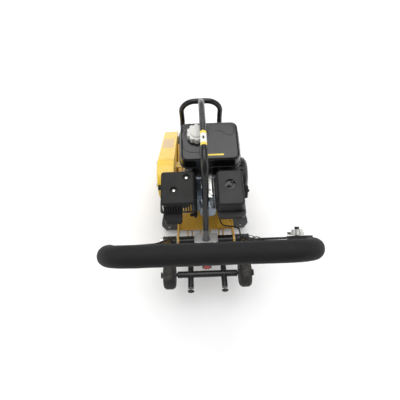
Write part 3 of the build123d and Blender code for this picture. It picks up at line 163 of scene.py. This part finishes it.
def surface(
    name,
    colour,
    metallic=0.0,
    rough=0.5,
    shade=0.10,
    patch=14.0,
    grain=1500.0,
    grain_depth=0.00004,
    cast=0.0,
    wear=None,
    wear_width=0.0012,
    wear_amount=0.6,
    dust=0.06,
    coat=0.0,
    brushed=None,
    zones=(),
    sheen=0.0,
):
    """A finish with uneven colour, grain, settled dust and worn edges; zones repaint parts of one node."""
    g = Graph(name)
    clouds = g.noise(patch, 4.0)
    fine = g.noise(patch * 9, 3.0)
    uneven = g.math("ADD", g.math("MULTIPLY", clouds, 0.65), g.math("MULTIPLY", fine, 0.35))
    uneven = g.ramp(uneven, 0.32, 0.68)
    base = g.mix(uneven, rgba(tone(colour, 1 - shade)), rgba(tone(colour, 1 + shade)))
    metal = metallic
    roughness = g.ramp(uneven, 0.0, 1.0, max(0.03, rough - 0.07), min(1.0, rough + 0.07))
    for spot in zones:
        mask = g.zone(*spot["where"])
        painted = g.mix(uneven, rgba(tone(spot["colour"], 0.9)), rgba(tone(spot["colour"], 1.1)))
        base = g.mix(mask, base, painted)
        metal = g.between(mask, metal, spot.get("metallic", 0.0))
        roughness = g.between(mask, roughness, spot.get("rough", 0.4))
    if wear is not None:
        patchy = g.ramp(g.noise(260.0, 4.0, 0.7), 0.40, 0.62)
        worn = g.math("MULTIPLY", g.math("MULTIPLY", g.edge(wear_width), patchy), wear_amount, True)
        base = g.mix(worn, base, rgba(wear))
        roughness = g.between(worn, roughness, 0.38)
    if dust > 0:
        normal = g.add("ShaderNodeNewGeometry").outputs["Normal"]
        up = g.add("ShaderNodeSeparateXYZ", normal).outputs[2]
        settled = g.math("MULTIPLY", g.ramp(up, 0.35, 1.0), g.ramp(g.noise(38.0, 6.0, 0.7), 0.42, 0.72))
        settled = g.math("MULTIPLY", settled, dust, True)
        base = g.mix(settled, base, rgba(dust_colour))
        roughness = g.math("ADD", roughness, g.math("MULTIPLY", settled, 0.5), True)
    relief = g.bump(g.noise(grain, 2.0, 0.5), grain_depth)
    if cast > 0:
        relief = g.bump(g.noise(330.0, 3.0, 0.6), cast, under=relief)
    if brushed is not None:
        relief = g.bump(g.noise(420.0, 2.0, 0.5, brushed), 0.00003, 0.6, relief)
    return g.finished(
        Base_Color=base,
        Metallic=metal,
        Roughness=roughness,
        Normal=relief,
        Coat_Weight=coat,
        Coat_Roughness=0.12,
        Sheen_Weight=sheen,
        Specular_IOR_Level=0.35,
    )


def foam(name, colour):
    """Closed-cell foam: fine open pores, faint skin wrinkles and a soft sheen."""
    g = Graph(name)
    clouds = g.noise(24.0, 4.0)
    base = g.mix(g.ramp(clouds, 0.35, 0.65), rgba(tone(colour, 0.80)), rgba(tone(colour, 1.25)))
    pores = g.add("ShaderNodeTexVoronoi", g.place)
    pores.inputs["Scale"].default_value = 620.0
    pit = g.ramp(pores.outputs["Distance"], 0.05, 0.45)
    # The pores are darkened towards their middles: painted shade in the pits
    base = g.mix(g.math("MULTIPLY", g.math("SUBTRACT", 1.0, pit), 0.5), base, rgba(tone(colour, 0.4)))
    wrinkles = g.noise(75.0, 5.0, 0.6, (0.5, 1.6, 1.6))
    return g.finished(
        Base_Color=base,
        Roughness=g.ramp(clouds, 0.3, 0.7, 0.62, 0.80),
        Normal=g.bump(wrinkles, 0.0008, 0.6, g.bump(pit, 0.00035, 0.7)),
        Sheen_Weight=0.02,
        Sheen_Roughness=0.5,
        Specular_IOR_Level=0.25,
    )


def joint(name):
    return next(j for j in frame["joints"] if j["name"] == name)


bare = (0.42, 0.41, 0.40)
guard_paint = (0.80, 0.53, 0.045)
# The deck's yellow is the guard's yellow paint darkened to an ochre: painted shade, the same paint as it
# looks in shadow
yellow_in_painted_shade = (0.58, 0.33, 0.035)
black = (0.008, 0.008, 0.009)

# Places where one node shows a second finish: the cleaner's wing nut, the bar's foot plate, the wheel hubs,
# the plunger's bright rod with its knob's dark rim, the brackets, which are black higher up, and a painted
# highlight on the bar's foot
upright = (0, 0, 1)
wing_nut = (0.101, -0.274, 0.515)
highlight_on_bar_foot = (0.0, -0.421, 0.284)
foot_plate = (0.0, -0.430, 0.280)
axle = Vector(joint("wheel_left_spin")["pos_m"])
frame_hinge = joint("wheel_frame_swing")["pos_m"]
frame_arm = joint("lock_plunger_slide")["axis"]
knob_face = 0.1335
black_from = 0.30

finishes = {
    "base_plate": surface(
        "plate_paint", (0.022, 0.022, 0.024), 0.1, 0.46, grain=900, cast=0.00025, wear=bare, dust=0.10,
    ),
    "dark_casting": surface(
        "dark_casting", (0.045, 0.045, 0.048), 0.2, 0.55, cast=0.0006, wear=bare, dust=0.25,
    ),
    "iron": surface(
        "machined_iron", (0.20, 0.20, 0.21), 0.8, 0.42, cast=0.0003, wear=(0.5, 0.5, 0.5), dust=0.12,
    ),
    "steel": surface("ground_steel", (0.56, 0.56, 0.55), 1.0, 0.28, brushed=(0.06, 1.0, 1.0), dust=0.05),
    "zinc": surface("zinc_plate", (0.50, 0.50, 0.48), 1.0, 0.30, shade=0.16, patch=60, dust=0.05),
    "alloy": surface("cast_alloy", (0.26, 0.30, 0.35), 0.9, 0.36, shade=0.20, cast=0.0005, dust=0.10),
    "guard": surface(
        "guard_enamel", guard_paint, 0.0, 0.30, shade=0.07, grain=420, grain_depth=0.00012,
        wear=(0.30, 0.24, 0.12), wear_amount=0.35, dust=0.08, coat=0.5,
    ),
    # Engine deck and wheel lugs: the yellow paint darkened as painted shade
    "deck": surface(
        "deck_enamel_painted_shade", yellow_in_painted_shade, 0.15, 0.34, shade=0.10, grain=420, grain_depth=0.00012,
        wear=(0.30, 0.24, 0.14), wear_amount=0.5, dust=0.16, coat=0.4,
    ),
    "tube": surface(
        "tube_coat", black, 0.0, 0.27, shade=0.2, grain=700, grain_depth=0.00012, wear=(0.16, 0.16, 0.16),
        wear_amount=0.3, dust=0.02, coat=0.1,
        zones=[
            # The bar's flattened foot is painted a lighter grey: a painted highlight standing for light
            # reflected off its black paint
            {"where": (highlight_on_bar_foot, upright, 0.030, 0.0, 0.075), "colour": (0.10, 0.10, 0.10), "rough": 0.3},
            {"where": (foot_plate, upright, 0.075, -0.004, 0.0042), "colour": (0.34, 0.33, 0.32),
             "rough": 0.45},
        ],
    ),
    "tank": surface(
        "tank_enamel", (0.006, 0.006, 0.007), 0.0, 0.20, shade=0.2, grain=260, grain_depth=0.00010,
        wear=(0.10, 0.10, 0.10), wear_amount=0.25, dust=0.015, coat=0.25,
    ),
    "shroud": surface(
        "shroud_enamel", (0.007, 0.007, 0.008), 0.0, 0.36, shade=0.2, grain=600, grain_depth=0.00015,
        wear=(0.12, 0.12, 0.12), wear_amount=0.35, dust=0.03, coat=0.1,
    ),
    "heat_black": surface(
        "heat_black", (0.007, 0.007, 0.007), 0.1, 0.62, shade=0.25, grain=900, grain_depth=0.00025,
        wear=(0.10, 0.10, 0.09), wear_amount=0.3, dust=0.03,
    ),
    "plastic": surface(
        "grained_plastic", (0.009, 0.009, 0.010), 0.0, 0.48, shade=0.15, grain=1400, grain_depth=0.0002,
        wear=(0.07, 0.07, 0.07), wear_amount=0.25, dust=0.02,
        zones=[
            {"where": (wing_nut, upright, 0.0205, -0.004, 0.05), "colour": (0.05, 0.05, 0.05),
             "metallic": 0.6, "rough": 0.35},
        ],
    ),
    "cap": surface(
        "cap_plastic", (0.62, 0.61, 0.58), 0.0, 0.42, shade=0.06, grain=1200, grain_depth=0.00015,
        wear=(0.55, 0.52, 0.46), wear_amount=0.4, dust=0.14, sheen=0.1,
    ),
    "red_cap": surface(
        "red_plastic", (0.50, 0.02, 0.015), 0.0, 0.34, shade=0.12, grain=1200, grain_depth=0.00012,
        wear=(0.25, 0.05, 0.04), wear_amount=0.4, dust=0.06,
    ),
    "rubber": surface(
        "moulded_rubber", (0.010, 0.010, 0.010), 0.0, 0.70, shade=0.2, grain=1100, grain_depth=0.0003,
        wear=(0.06, 0.06, 0.06), dust=0.16,
    ),
    "belt": surface(
        "belt_rubber", (0.016, 0.016, 0.016), 0.0, 0.78, grain=1600, grain_depth=0.0003, dust=0.10,
    ),
    "paper": surface(
        "filter_paper", (0.52, 0.40, 0.20), 0.0, 0.80, shade=0.12, grain=900, grain_depth=0.0003, dust=0.1,
    ),
    "foam": foam("grip_foam_skin", (0.008, 0.008, 0.009)),
    "wheel": surface(
        "solid_tyre", (0.012, 0.012, 0.012), 0.0, 0.66, shade=0.2, grain=1000, grain_depth=0.0004,
        wear=(0.07, 0.07, 0.07), dust=0.22,
        zones=[
            {"where": ((0.0, axle.y, axle.z), (1, 0, 0), 0.038, -0.3, 0.3), "colour": (0.035, 0.035, 0.038),
             "rough": 0.42},
        ],
    ),
    "plunger": surface(
        "plunger_finish", (0.50, 0.02, 0.015), 0.0, 0.34, shade=0.12, grain=1200, grain_depth=0.00012,
        wear=(0.25, 0.05, 0.04), dust=0.06,
        zones=[
            {"where": (frame_hinge, frame_arm, 0.05, 0.0, knob_face), "colour": (0.58, 0.57, 0.55),
             "metallic": 1.0, "rough": 0.3},
            {"where": (frame_hinge, frame_arm, 0.05, knob_face, 0.2, 0.0165), "colour": (0.02, 0.02, 0.02),
             "rough": 0.5},
        ],
    ),
    # Brackets: the yellow paint darkened as painted shade, with black paint higher up
    "bracket": surface(
        "bracket_enamel_painted_shade", yellow_in_painted_shade, 0.0, 0.34, shade=0.10, grain=420, grain_depth=0.00012,
        wear=(0.30, 0.24, 0.14), wear_amount=0.4, dust=0.05, coat=0.2,
        zones=[{"where": ((0.0, 0.0, 0.0), upright, 2.0, black_from, 1.0), "colour": black, "rough": 0.4}],
    ),
}

nodes_in = {
    "base_plate": ("base_plate",),
    "dark_casting": ("exciter_housing", "exciter_covers"),
    "iron": ("eccentric_weights", "exciter_pulley", "clutch_drum", "clutch_shoe_front", "clutch_shoe_rear"),
    "steel": ("exciter_shaft", "bearings", "clutch_hub", "crankshaft"),
    "zinc": ("throttle_arm", "control_linkage", "throttle_lever", "fasteners"),
    "alloy": (
        "crankcase", "crankcase_cover", "piston", "cylinder_head", "rocker_cover", "flywheel", "carburettor",
    ),
    "guard": ("belt_guard", "belt_guard_back"),
    "deck": ("engine_deck", "wheel_lugs"),
    "bracket": ("brackets",),
    "tube": ("rear_cross_member", "protection_frame", "handle_tube", "wheel_frame"),
    "tank": ("fuel_tank",),
    "shroud": ("fan_housing", "recoil_cover"),
    "heat_black": ("muffler", "muffler_cover"),
    "plastic": (
        "oil_dipsticks", "recoil_reel", "air_cleaner_base", "air_cleaner_cover", "choke_lever",
        "fuel_valve_lever", "engine_switch", "throttle_clamp",
    ),
    "cap": ("fuel_cap",),
    "red_cap": ("switch_knob",),
    "rubber": (
        "rubber_mounts", "ignition", "starter_grip", "fuel_hose", "pivot_bushes", "throttle_cable",
        "frame_caps",
    ),
    "belt": ("v_belt",),
    "paper": ("filter_element",),
    "foam": ("grip_foam",),
    "wheel": ("wheel_left", "wheel_right"),
    "plunger": ("lock_plunger",),
}
for finish_name, node_names in nodes_in.items():
    for node_name in node_names:
        node = nodes[node_name]
        if not node.material_slots:
            node.data.materials.append(finishes[finish_name])
        for material_slot in node.material_slots:
            material_slot.link = "OBJECT"
            material_slot.material = finishes[finish_name]


# ------------------------------------------------------------------- pieces


def mesh_piece(name, vertices, faces, material, body=None, smooth=True):
    mesh = bpy.data.meshes.new(name)
    mesh.from_pydata([tuple(v) for v in vertices], [], faces)
    mesh.update()
    made = bpy.data.objects.new(name, mesh)
    bpy.context.scene.collection.objects.link(made)
    made.data.materials.append(material)
    if smooth:
        for polygon in mesh.polygons:
            polygon.use_smooth = True
    if body is not None:
        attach(made, body)
    return made


def smooth_path(points, steps=10):
    """A Catmull-Rom line through the points."""
    points = [Vector(p) for p in points]
    padded = [points[0] * 2 - points[1]] + points + [points[-1] * 2 - points[-2]]
    line = []
    for i in range(1, len(padded) - 2):
        a, b, c, d = padded[i - 1:i + 3]
        square = a * 2 - b * 5 + c * 4 - d
        cube = b * 3 - a - c * 3 + d
        for step in range(steps):
            t = step / steps
            line.append(0.5 * (b * 2 + (c - a) * t + square * t ** 2 + cube * t ** 3))
    line.append(points[-1])
    return line


def hose(name, points, radius, material, body, sides=12, steps=10):
    """A closed round tube along a smooth line, drawn in a little at its ends."""
    line = smooth_path(points, steps)
    vertices = []
    faces = []
    normal = None
    count = len(line)
    for i, point in enumerate(line):
        ahead = (line[min(i + 1, count - 1)] - line[max(i - 1, 0)]).normalized()
        if normal is None:
            normal = ahead.orthogonal().normalized()
        normal = (normal - ahead * normal.dot(ahead)).normalized()
        other = ahead.cross(normal)
        size = radius * (0.72 if i in (0, count - 1) else 1.0)
        for side in range(sides):
            turn = 2 * math.pi * side / sides
            vertices.append(point + (normal * math.cos(turn) + other * math.sin(turn)) * size)
    for i in range(count - 1):
        for side in range(sides):
            a = i * sides + side
            b = i * sides + (side + 1) % sides
            faces.append((a, b, b + sides, a + sides))
    faces.append(tuple(reversed(range(sides))))
    faces.append(tuple(range((count - 1) * sides, count * sides)))
    return mesh_piece(name, vertices, faces, material, body)


def rounded_outline(width, height, radius, steps=6):
    points = []
    for corner, (sx, sy) in enumerate(((1, 1), (-1, 1), (-1, -1), (1, -1))):
        cx = sx * (width / 2 - radius)
        cy = sy * (height / 2 - radius)
        for step in range(steps + 1):
            turn = math.pi / 2 * (corner + step / steps)
            points.append((cx + radius * math.cos(turn), cy + radius * math.sin(turn)))
    return points


def plate(name, centre, across, along, width, height, radius, thick, material, body):
    """A thin rounded plate with a softened rim; across and along are its two directions."""
    edge = 0.0004
    across = Vector(across).normalized()
    along = Vector(along).normalized()
    out = across.cross(along)
    centre = Vector(centre)
    outline = rounded_outline(width, height, radius)
    inner = rounded_outline(width - 2 * edge, height - 2 * edge, max(radius - edge, 0.0002))
    rings = ((outline, 0.0), (outline, thick - edge), (inner, thick))
    vertices = []
    for points, lift in rings:
        vertices += [centre + across * x + along * y + out * lift for x, y in points]
    size = len(outline)
    faces = [tuple(reversed(range(size))), tuple(range(2 * size, 3 * size))]
    for level in range(2):
        for i in range(size):
            a = level * size + i
            b = level * size + (i + 1) % size
            faces.append((a, b, b + size, a + size))
    return mesh_piece(name, vertices, faces, material, body, smooth=False)


def soft_copy(source, name, voxel, rounds, factor, ripple):
    """A node's shape remeshed, relaxed and made slightly uneven."""
    made = source.copy()
    made.data = source.data.copy()
    made.name = name
    made.parent = None
    for key in list(made.keys()):
        del made[key]
    bpy.context.scene.collection.objects.link(made)
    bpy.ops.object.select_all(action="DESELECT")
    made.select_set(True)
    bpy.context.view_layer.objects.active = made
    remesh = made.modifiers.new("remesh", "REMESH")
    remesh.mode = "VOXEL"
    remesh.voxel_size = voxel
    bpy.ops.object.modifier_apply(modifier=remesh.name)
    relax = made.modifiers.new("relax", "SMOOTH")
    relax.iterations = rounds
    relax.factor = factor
    bpy.ops.object.modifier_apply(modifier=relax.name)
    texture = bpy.data.textures.new(name + "_ripple", "CLOUDS")
    texture.noise_scale = 0.05
    wave = made.modifiers.new("wave", "DISPLACE")
    wave.texture = texture
    wave.strength = ripple
    bpy.ops.object.modifier_apply(modifier=wave.name)
    for polygon in made.data.polygons:
        polygon.use_smooth = True
    return made


# Foam grip, softened so that its ends round over
grip = soft_copy(nodes["grip_foam"], "grip_sleeve", voxel=0.0045, rounds=4, factor=0.5, ripple=0.0018)
grip.data.materials.clear()
grip.data.materials.append(finishes["foam"])
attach(grip, "handle")
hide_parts("grip_foam")

# The handle's own directions: up along its arms, and square to them towards the engine
pivot = Vector(joint("handle_tilt")["pos_m"])
lean = math.radians(18.7)
handle_up = Vector((0, -math.sin(lean), math.cos(lean)))
handle_front = Vector((0, math.cos(lean), math.sin(lean)))


def on_handle(x, up, front):
    return pivot + Vector((x, 0, 0)) + handle_up * up + handle_front * front


# Throttle cable: down the right arm, then across the pivot to the fixed run below
cable_radius = 0.0032
cable_x = 0.146
cable_start = Vector((0.142, -0.392, 0.316))
hose(
    "cable_on_handle",
    [on_handle(0.214, 0.590, 0.024), on_handle(0.224, 0.560, 0.022), on_handle(0.213, 0.520, 0.020),
     on_handle(0.174, 0.470, 0.018), on_handle(cable_x, 0.400, 0.014), on_handle(cable_x, 0.300, 0.012),
     on_handle(cable_x, 0.200, 0.012), on_handle(cable_x, 0.120, 0.012)],
    cable_radius, finishes["rubber"], "handle", steps=12,
)
crossing = hose(
    "cable_over_pivot",
    [on_handle(cable_x, 0.121, 0.012), on_handle(0.147, 0.095, 0.020), on_handle(0.148, 0.070, 0.030),
     cable_start + Vector((0.004, -0.004, 0.010)), cable_start],
    cable_radius, finishes["rubber"], None, steps=12,
)
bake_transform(crossing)

# Ties that hold the cable to the arm
for index, distance in enumerate((0.15, 0.28, 0.40)):
    loop = []
    for step in range(9):
        turn = 2 * math.pi * step / 8
        loop.append(on_handle(0.1575 + 0.0215 * math.cos(turn), distance, 0.004 + 0.0175 * math.sin(turn)))
    hose(
        f"cable_tie_{index}", loop, 0.0016, finishes["plastic"], "handle", sides=8, steps=5,
    )


# Labels are plain printed patches without words
def patch_on_bar(name, first, last, radius, half_turn, material):
    """A thin sheet wrapped over the top of the straight bar between two points of its axis."""
    steps = 10
    thick = 0.0004
    along = (last - first).normalized()
    side = Vector((1, 0, 0))
    out = side.cross(along)
    if out.z < 0:
        out = -out
    vertices = []
    for lift in (radius, radius + thick):
        for end in (first, last):
            for step in range(steps + 1):
                turn = math.radians(-half_turn + 2 * half_turn * step / steps)
                vertices.append(end + (out * math.cos(turn) + side * math.sin(turn)) * lift)
    row = steps + 1
    faces = []
    for i in range(steps):
        faces.append((i, i + row, i + row + 1, i + 1))
        faces.append((i + 2 * row, i + 2 * row + 1, i + 3 * row + 1, i + 3 * row))
        faces.append((i, i + 1, i + 1 + 2 * row, i + 2 * row))
        faces.append((i + row, i + 3 * row, i + 1 + 3 * row, i + 1 + row))
    for i in (0, steps):
        faces.append((i, i + 2 * row, i + 3 * row, i + row))
    return mesh_piece(name, vertices, faces, material, "chassis", smooth=False)


def film(name, colour):
    return surface(
        name, colour, 0.0, 0.35, shade=0.05, grain=800, grain_depth=0.00005, dust=0.12,
        wear=(0.45, 0.43, 0.38), wear_amount=0.4, wear_width=0.0006,
    )


film_white = film("label_white", (0.78, 0.77, 0.72))
film_yellow = film("label_yellow", (0.80, 0.62, 0.08))
film_pink = film("label_faded", (0.62, 0.45, 0.26))
film_black = film("label_black", (0.02, 0.02, 0.02))

bar_low = Vector((0.0, -0.262, 0.694))
bar_high = Vector((0.0, -0.060, 0.634))
bar_radius = 0.013
label_from = 0.33
label_to = 0.72


def on_bar(share):
    return bar_low.lerp(bar_high, share)


on_label = bar_radius + 0.0006
for name, first, last, radius, half_turn, material, slot in (
    ("bar_label", label_from, label_to, bar_radius + 0.00025, 62, film_white, "white_plastic"),
    ("bar_label_band", label_from, label_from + 0.07, on_label, 62, film_yellow, "guard_yellow"),
    ("bar_label_top", label_to - 0.07, label_to, on_label, 62, film_yellow, "guard_yellow"),
    ("bar_label_mark", label_from + 0.15, label_to - 0.16, on_label, 16, film_black, "black_plastic"),
):
    patch_on_bar(name, on_bar(first), on_bar(last), radius, half_turn, material)

# The guard's label lies on its sloping top, over the run from the crankshaft to the exciter
guard_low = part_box("belt_guard")[0]
guard_back_centre = Vector(joint("crank_spin")["pos_m"])
guard_front_centre = Vector((0.0, 0.172, 0.122))
guard_run = (guard_front_centre - guard_back_centre).normalized()
guard_out = Vector((1, 0, 0)).cross(guard_run)
guard_mid = guard_back_centre.lerp(guard_front_centre, 0.54) + guard_out * 0.0955
plate(
    "guard_label", guard_mid + Vector((-0.171, 0, 0)), (1, 0, 0), guard_run, 0.052, 0.130, 0.003, 0.0005,
    film_pink, "chassis",
)

tank_low, tank_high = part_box("fuel_tank")


def on_tank(right, ahead, lift=0.0):
    """A place on the tank's top, from its rear left corner."""
    return Vector((tank_low.x + right, tank_low.y + ahead, tank_high.z + lift))


plate(
    "tank_label", on_tank(0.149, 0.030), (1, 0, 0), (0, 1, 0), 0.068, 0.008, 0.001, 0.0004,
    film_yellow, "chassis",
)

# Pressed ridges on the tank: a panel outline at the right and a step around the filler
for name, outline in (
    ("tank_ridge_right", ((0.151, 0.146), (0.179, 0.146), (0.193, 0.132), (0.217, 0.124), (0.231, 0.138),
                          (0.231, 0.168), (0.213, 0.178))),
    ("tank_ridge_left", ((0.017, 0.086), (0.023, 0.062), (0.043, 0.047), (0.081, 0.043), (0.107, 0.052))),
):
    hose(
        name, [on_tank(right, ahead, -0.0004) for right, ahead in outline], 0.0016, finishes["tank"],
        "chassis", sides=10,
    )


def bolt_head(name, place, axis, across, height):
    """A zinc hexagon head on a washer, its corners turned down."""
    place = Vector(place)
    axis = Vector(axis).normalized()
    side = axis.orthogonal().normalized()
    other = axis.cross(side)
    around = 24
    sector = math.pi / 3
    washer = across * 1.02
    corner = across / math.sqrt(3)
    thin = across * 0.12
    levels = (
        (washer, 0.0, False), (washer, thin, False), (corner * 0.99, thin, True),
        (corner * 0.99, height * 0.86, True), (corner * 0.84, height, False),
    )
    vertices = []
    for reach, lift, hexagonal in levels:
        for step in range(around):
            turn = 2 * math.pi * step / around
            radius = reach
            if hexagonal:
                radius = reach * math.cos(sector / 2) / math.cos(turn % sector - sector / 2)
            vertices.append(place + axis * lift + (side * math.cos(turn) + other * math.sin(turn)) * radius)
    last = (len(levels) - 1) * around
    faces = [tuple(reversed(range(around))), tuple(range(last, last + around))]
    for start in range(0, last, around):
        for i in range(around):
            a = start + i
            b = start + (i + 1) % around
            faces.append((a, b, b + around, a + around))
    return mesh_piece(name, vertices, faces, finishes["zinc"], "chassis", smooth=False)


def spring(name, start, end, radius, wire, turns):
    """A zinc tension spring between two places."""
    per_turn = 8
    along = (end - start).normalized()
    side = along.orthogonal().normalized()
    other = along.cross(side)
    points = [start - along * radius * 1.6, start - along * radius * 0.5]
    for step in range(turns * per_turn + 1):
        turn = 2 * math.pi * step / per_turn
        share = step / (turns * per_turn)
        points.append(start.lerp(end, share) + (side * math.cos(turn) + other * math.sin(turn)) * radius)
    points += [end + along * radius * 0.5, end + along * radius * 1.6]
    return hose(name, points, wire, finishes["zinc"], "chassis", sides=6, steps=2)


# Springs, link rods and bright screws on the control bracket, between muffler and air cleaner
bracket_top = 0.4595


def over_bracket(x, y, lift=0.0):
    return Vector((x, y, bracket_top + lift))


spring(
    "governor_spring", over_bracket(0.0245, -0.306, 0.0045), over_bracket(0.030, -0.352, -0.0095),
    radius=0.0038, wire=0.0007, turns=14,
)
spring(
    "idle_spring", over_bracket(0.036, -0.215, 0.0085), over_bracket(0.037, -0.262, 0.0065),
    radius=0.0030, wire=0.0006, turns=15,
)
hose(
    "governor_rod",
    [over_bracket(0.037, -0.200, 0.0025), over_bracket(0.037, -0.206, 0.0085),
     over_bracket(0.0385, -0.240, 0.0145), over_bracket(0.038, -0.300, 0.0125),
     over_bracket(0.040, -0.340, -0.0015), over_bracket(0.040, -0.346, -0.0095)],
    0.0012, finishes["zinc"], "chassis", sides=8, steps=8,
)
hose(
    "throttle_rod",
    [over_bracket(-0.014, -0.205, -0.0095), over_bracket(-0.014, -0.212, -0.002),
     over_bracket(-0.012, -0.260, 0.0025), over_bracket(-0.002, -0.288, 0.0025),
     over_bracket(0.004, -0.292, 0.0045)],
    0.0011, finishes["zinc"], "chassis", sides=8, steps=8,
)
for index, place in enumerate((
    over_bracket(0.024, -0.205), over_bracket(-0.0005, -0.246), over_bracket(0.024, -0.285, 0.0045),
)):
    bolt_head(f"bracket_screw_{index}", place, upright, across=0.008, height=0.0045)

# Bolts around the rim of the belt guard
for index, (bolt_y, bolt_z) in enumerate(((-0.196, 0.388), (-0.090, 0.402), (0.228, 0.096), (0.116, 0.064))):
    place = (guard_low.x - 0.0002, bolt_y, bolt_z)
    bolt_head(f"guard_bolt_{index}", place, (-1, 0, 0), across=0.013, height=0.006)


# --------------------------------------------------------- floor and lights

paper = Graph("floor_paper")
paper_tone = paper.mix(paper.ramp(paper.noise(3.0, 3.0), 0.3, 0.7), rgba((0.86,) * 3), rgba((0.90,) * 3))
floor = mesh_piece(
    "floor_sheet", [(-9, -9, 0), (9, -9, 0), (9, 9, 0), (-9, 9, 0)], [(0, 1, 2, 3)],
    paper.finished(Base_Color=paper_tone, Roughness=0.85),
)

sun_data = bpy.data.lights.new("soft_sun", "SUN")
sun_data.energy = 2.0
sun_data.angle = math.radians(75)
sun = bpy.data.objects.new("soft_sun", sun_data)
bpy.context.scene.collection.objects.link(sun)
sun.rotation_euler = (math.radians(-14), 0.0, 0.0)

middle = Vector((0, -0.15, 0.35))


def soft_light(name, place, size, power):
    """A rectangular light that faces the middle of the machine."""
    data = bpy.data.lights.new(name, "AREA")
    data.shape = "RECTANGLE"
    data.size, data.size_y = size
    data.energy = power
    made = bpy.data.objects.new(name, data)
    bpy.context.scene.collection.objects.link(made)
    made.location = place
    made.rotation_euler = (middle - Vector(place)).to_track_quat("-Z", "Y").to_euler()


soft_light("top_light", (0.0, 0.5, 3.2), (2.6, 2.6), 26)
soft_light("left_light", (-2.6, -0.8, 1.7), (1.4, 2.0), 16)
soft_light("right_light", (2.6, -0.6, 1.7), (1.4, 2.0), 14)
soft_light("front_light", (0.0, 2.6, 1.5), (2.4, 1.2), 14)

# A pale room: white where the camera sees it, dimmer as a light
room_light = 0.30
seen_light = 1.0
world = bpy.data.worlds.new("pale_room")
bpy.context.scene.world = world
world.use_nodes = True
backdrop = world.node_tree.nodes["Background"]
backdrop.inputs["Color"].default_value = (1.0, 1.0, 1.0, 1.0)
seen = world.node_tree.nodes.new("ShaderNodeLightPath")
level = world.node_tree.nodes.new("ShaderNodeMapRange")
level.inputs["To Min"].default_value = room_light
level.inputs["To Max"].default_value = seen_light
world.node_tree.links.new(seen.outputs["Is Camera Ray"], level.inputs["Value"])
world.node_tree.links.new(level.outputs[0], backdrop.inputs["Strength"])

# -------------------------------------------------------------------- camera

camera_place = Vector((-0.021, -0.807, 1.588))
look_down = math.radians(66.2)
roll = math.radians(2.1)
camera_data = bpy.data.cameras.new("photo_camera")
camera_data.lens = 27.0
camera_data.sensor_width = 36.0
camera_data.clip_start = 0.02
camera = bpy.data.objects.new("photo_camera", camera_data)
bpy.context.scene.collection.objects.link(camera)
ahead = Vector((0, math.cos(look_down), -math.sin(look_down)))
level_up = Vector((0, math.sin(look_down), math.cos(look_down)))
level_right = Vector((1, 0, 0))
right = level_right * math.cos(roll) - level_up * math.sin(roll)
up = level_right * math.sin(roll) + level_up * math.cos(roll)
facing = Matrix((right, up, -ahead)).transposed().to_4x4()
camera.matrix_world = Matrix.Translation(camera_place) @ facing
bpy.context.scene.camera = camera
bpy.context.scene.view_settings.view_transform = "Standard"
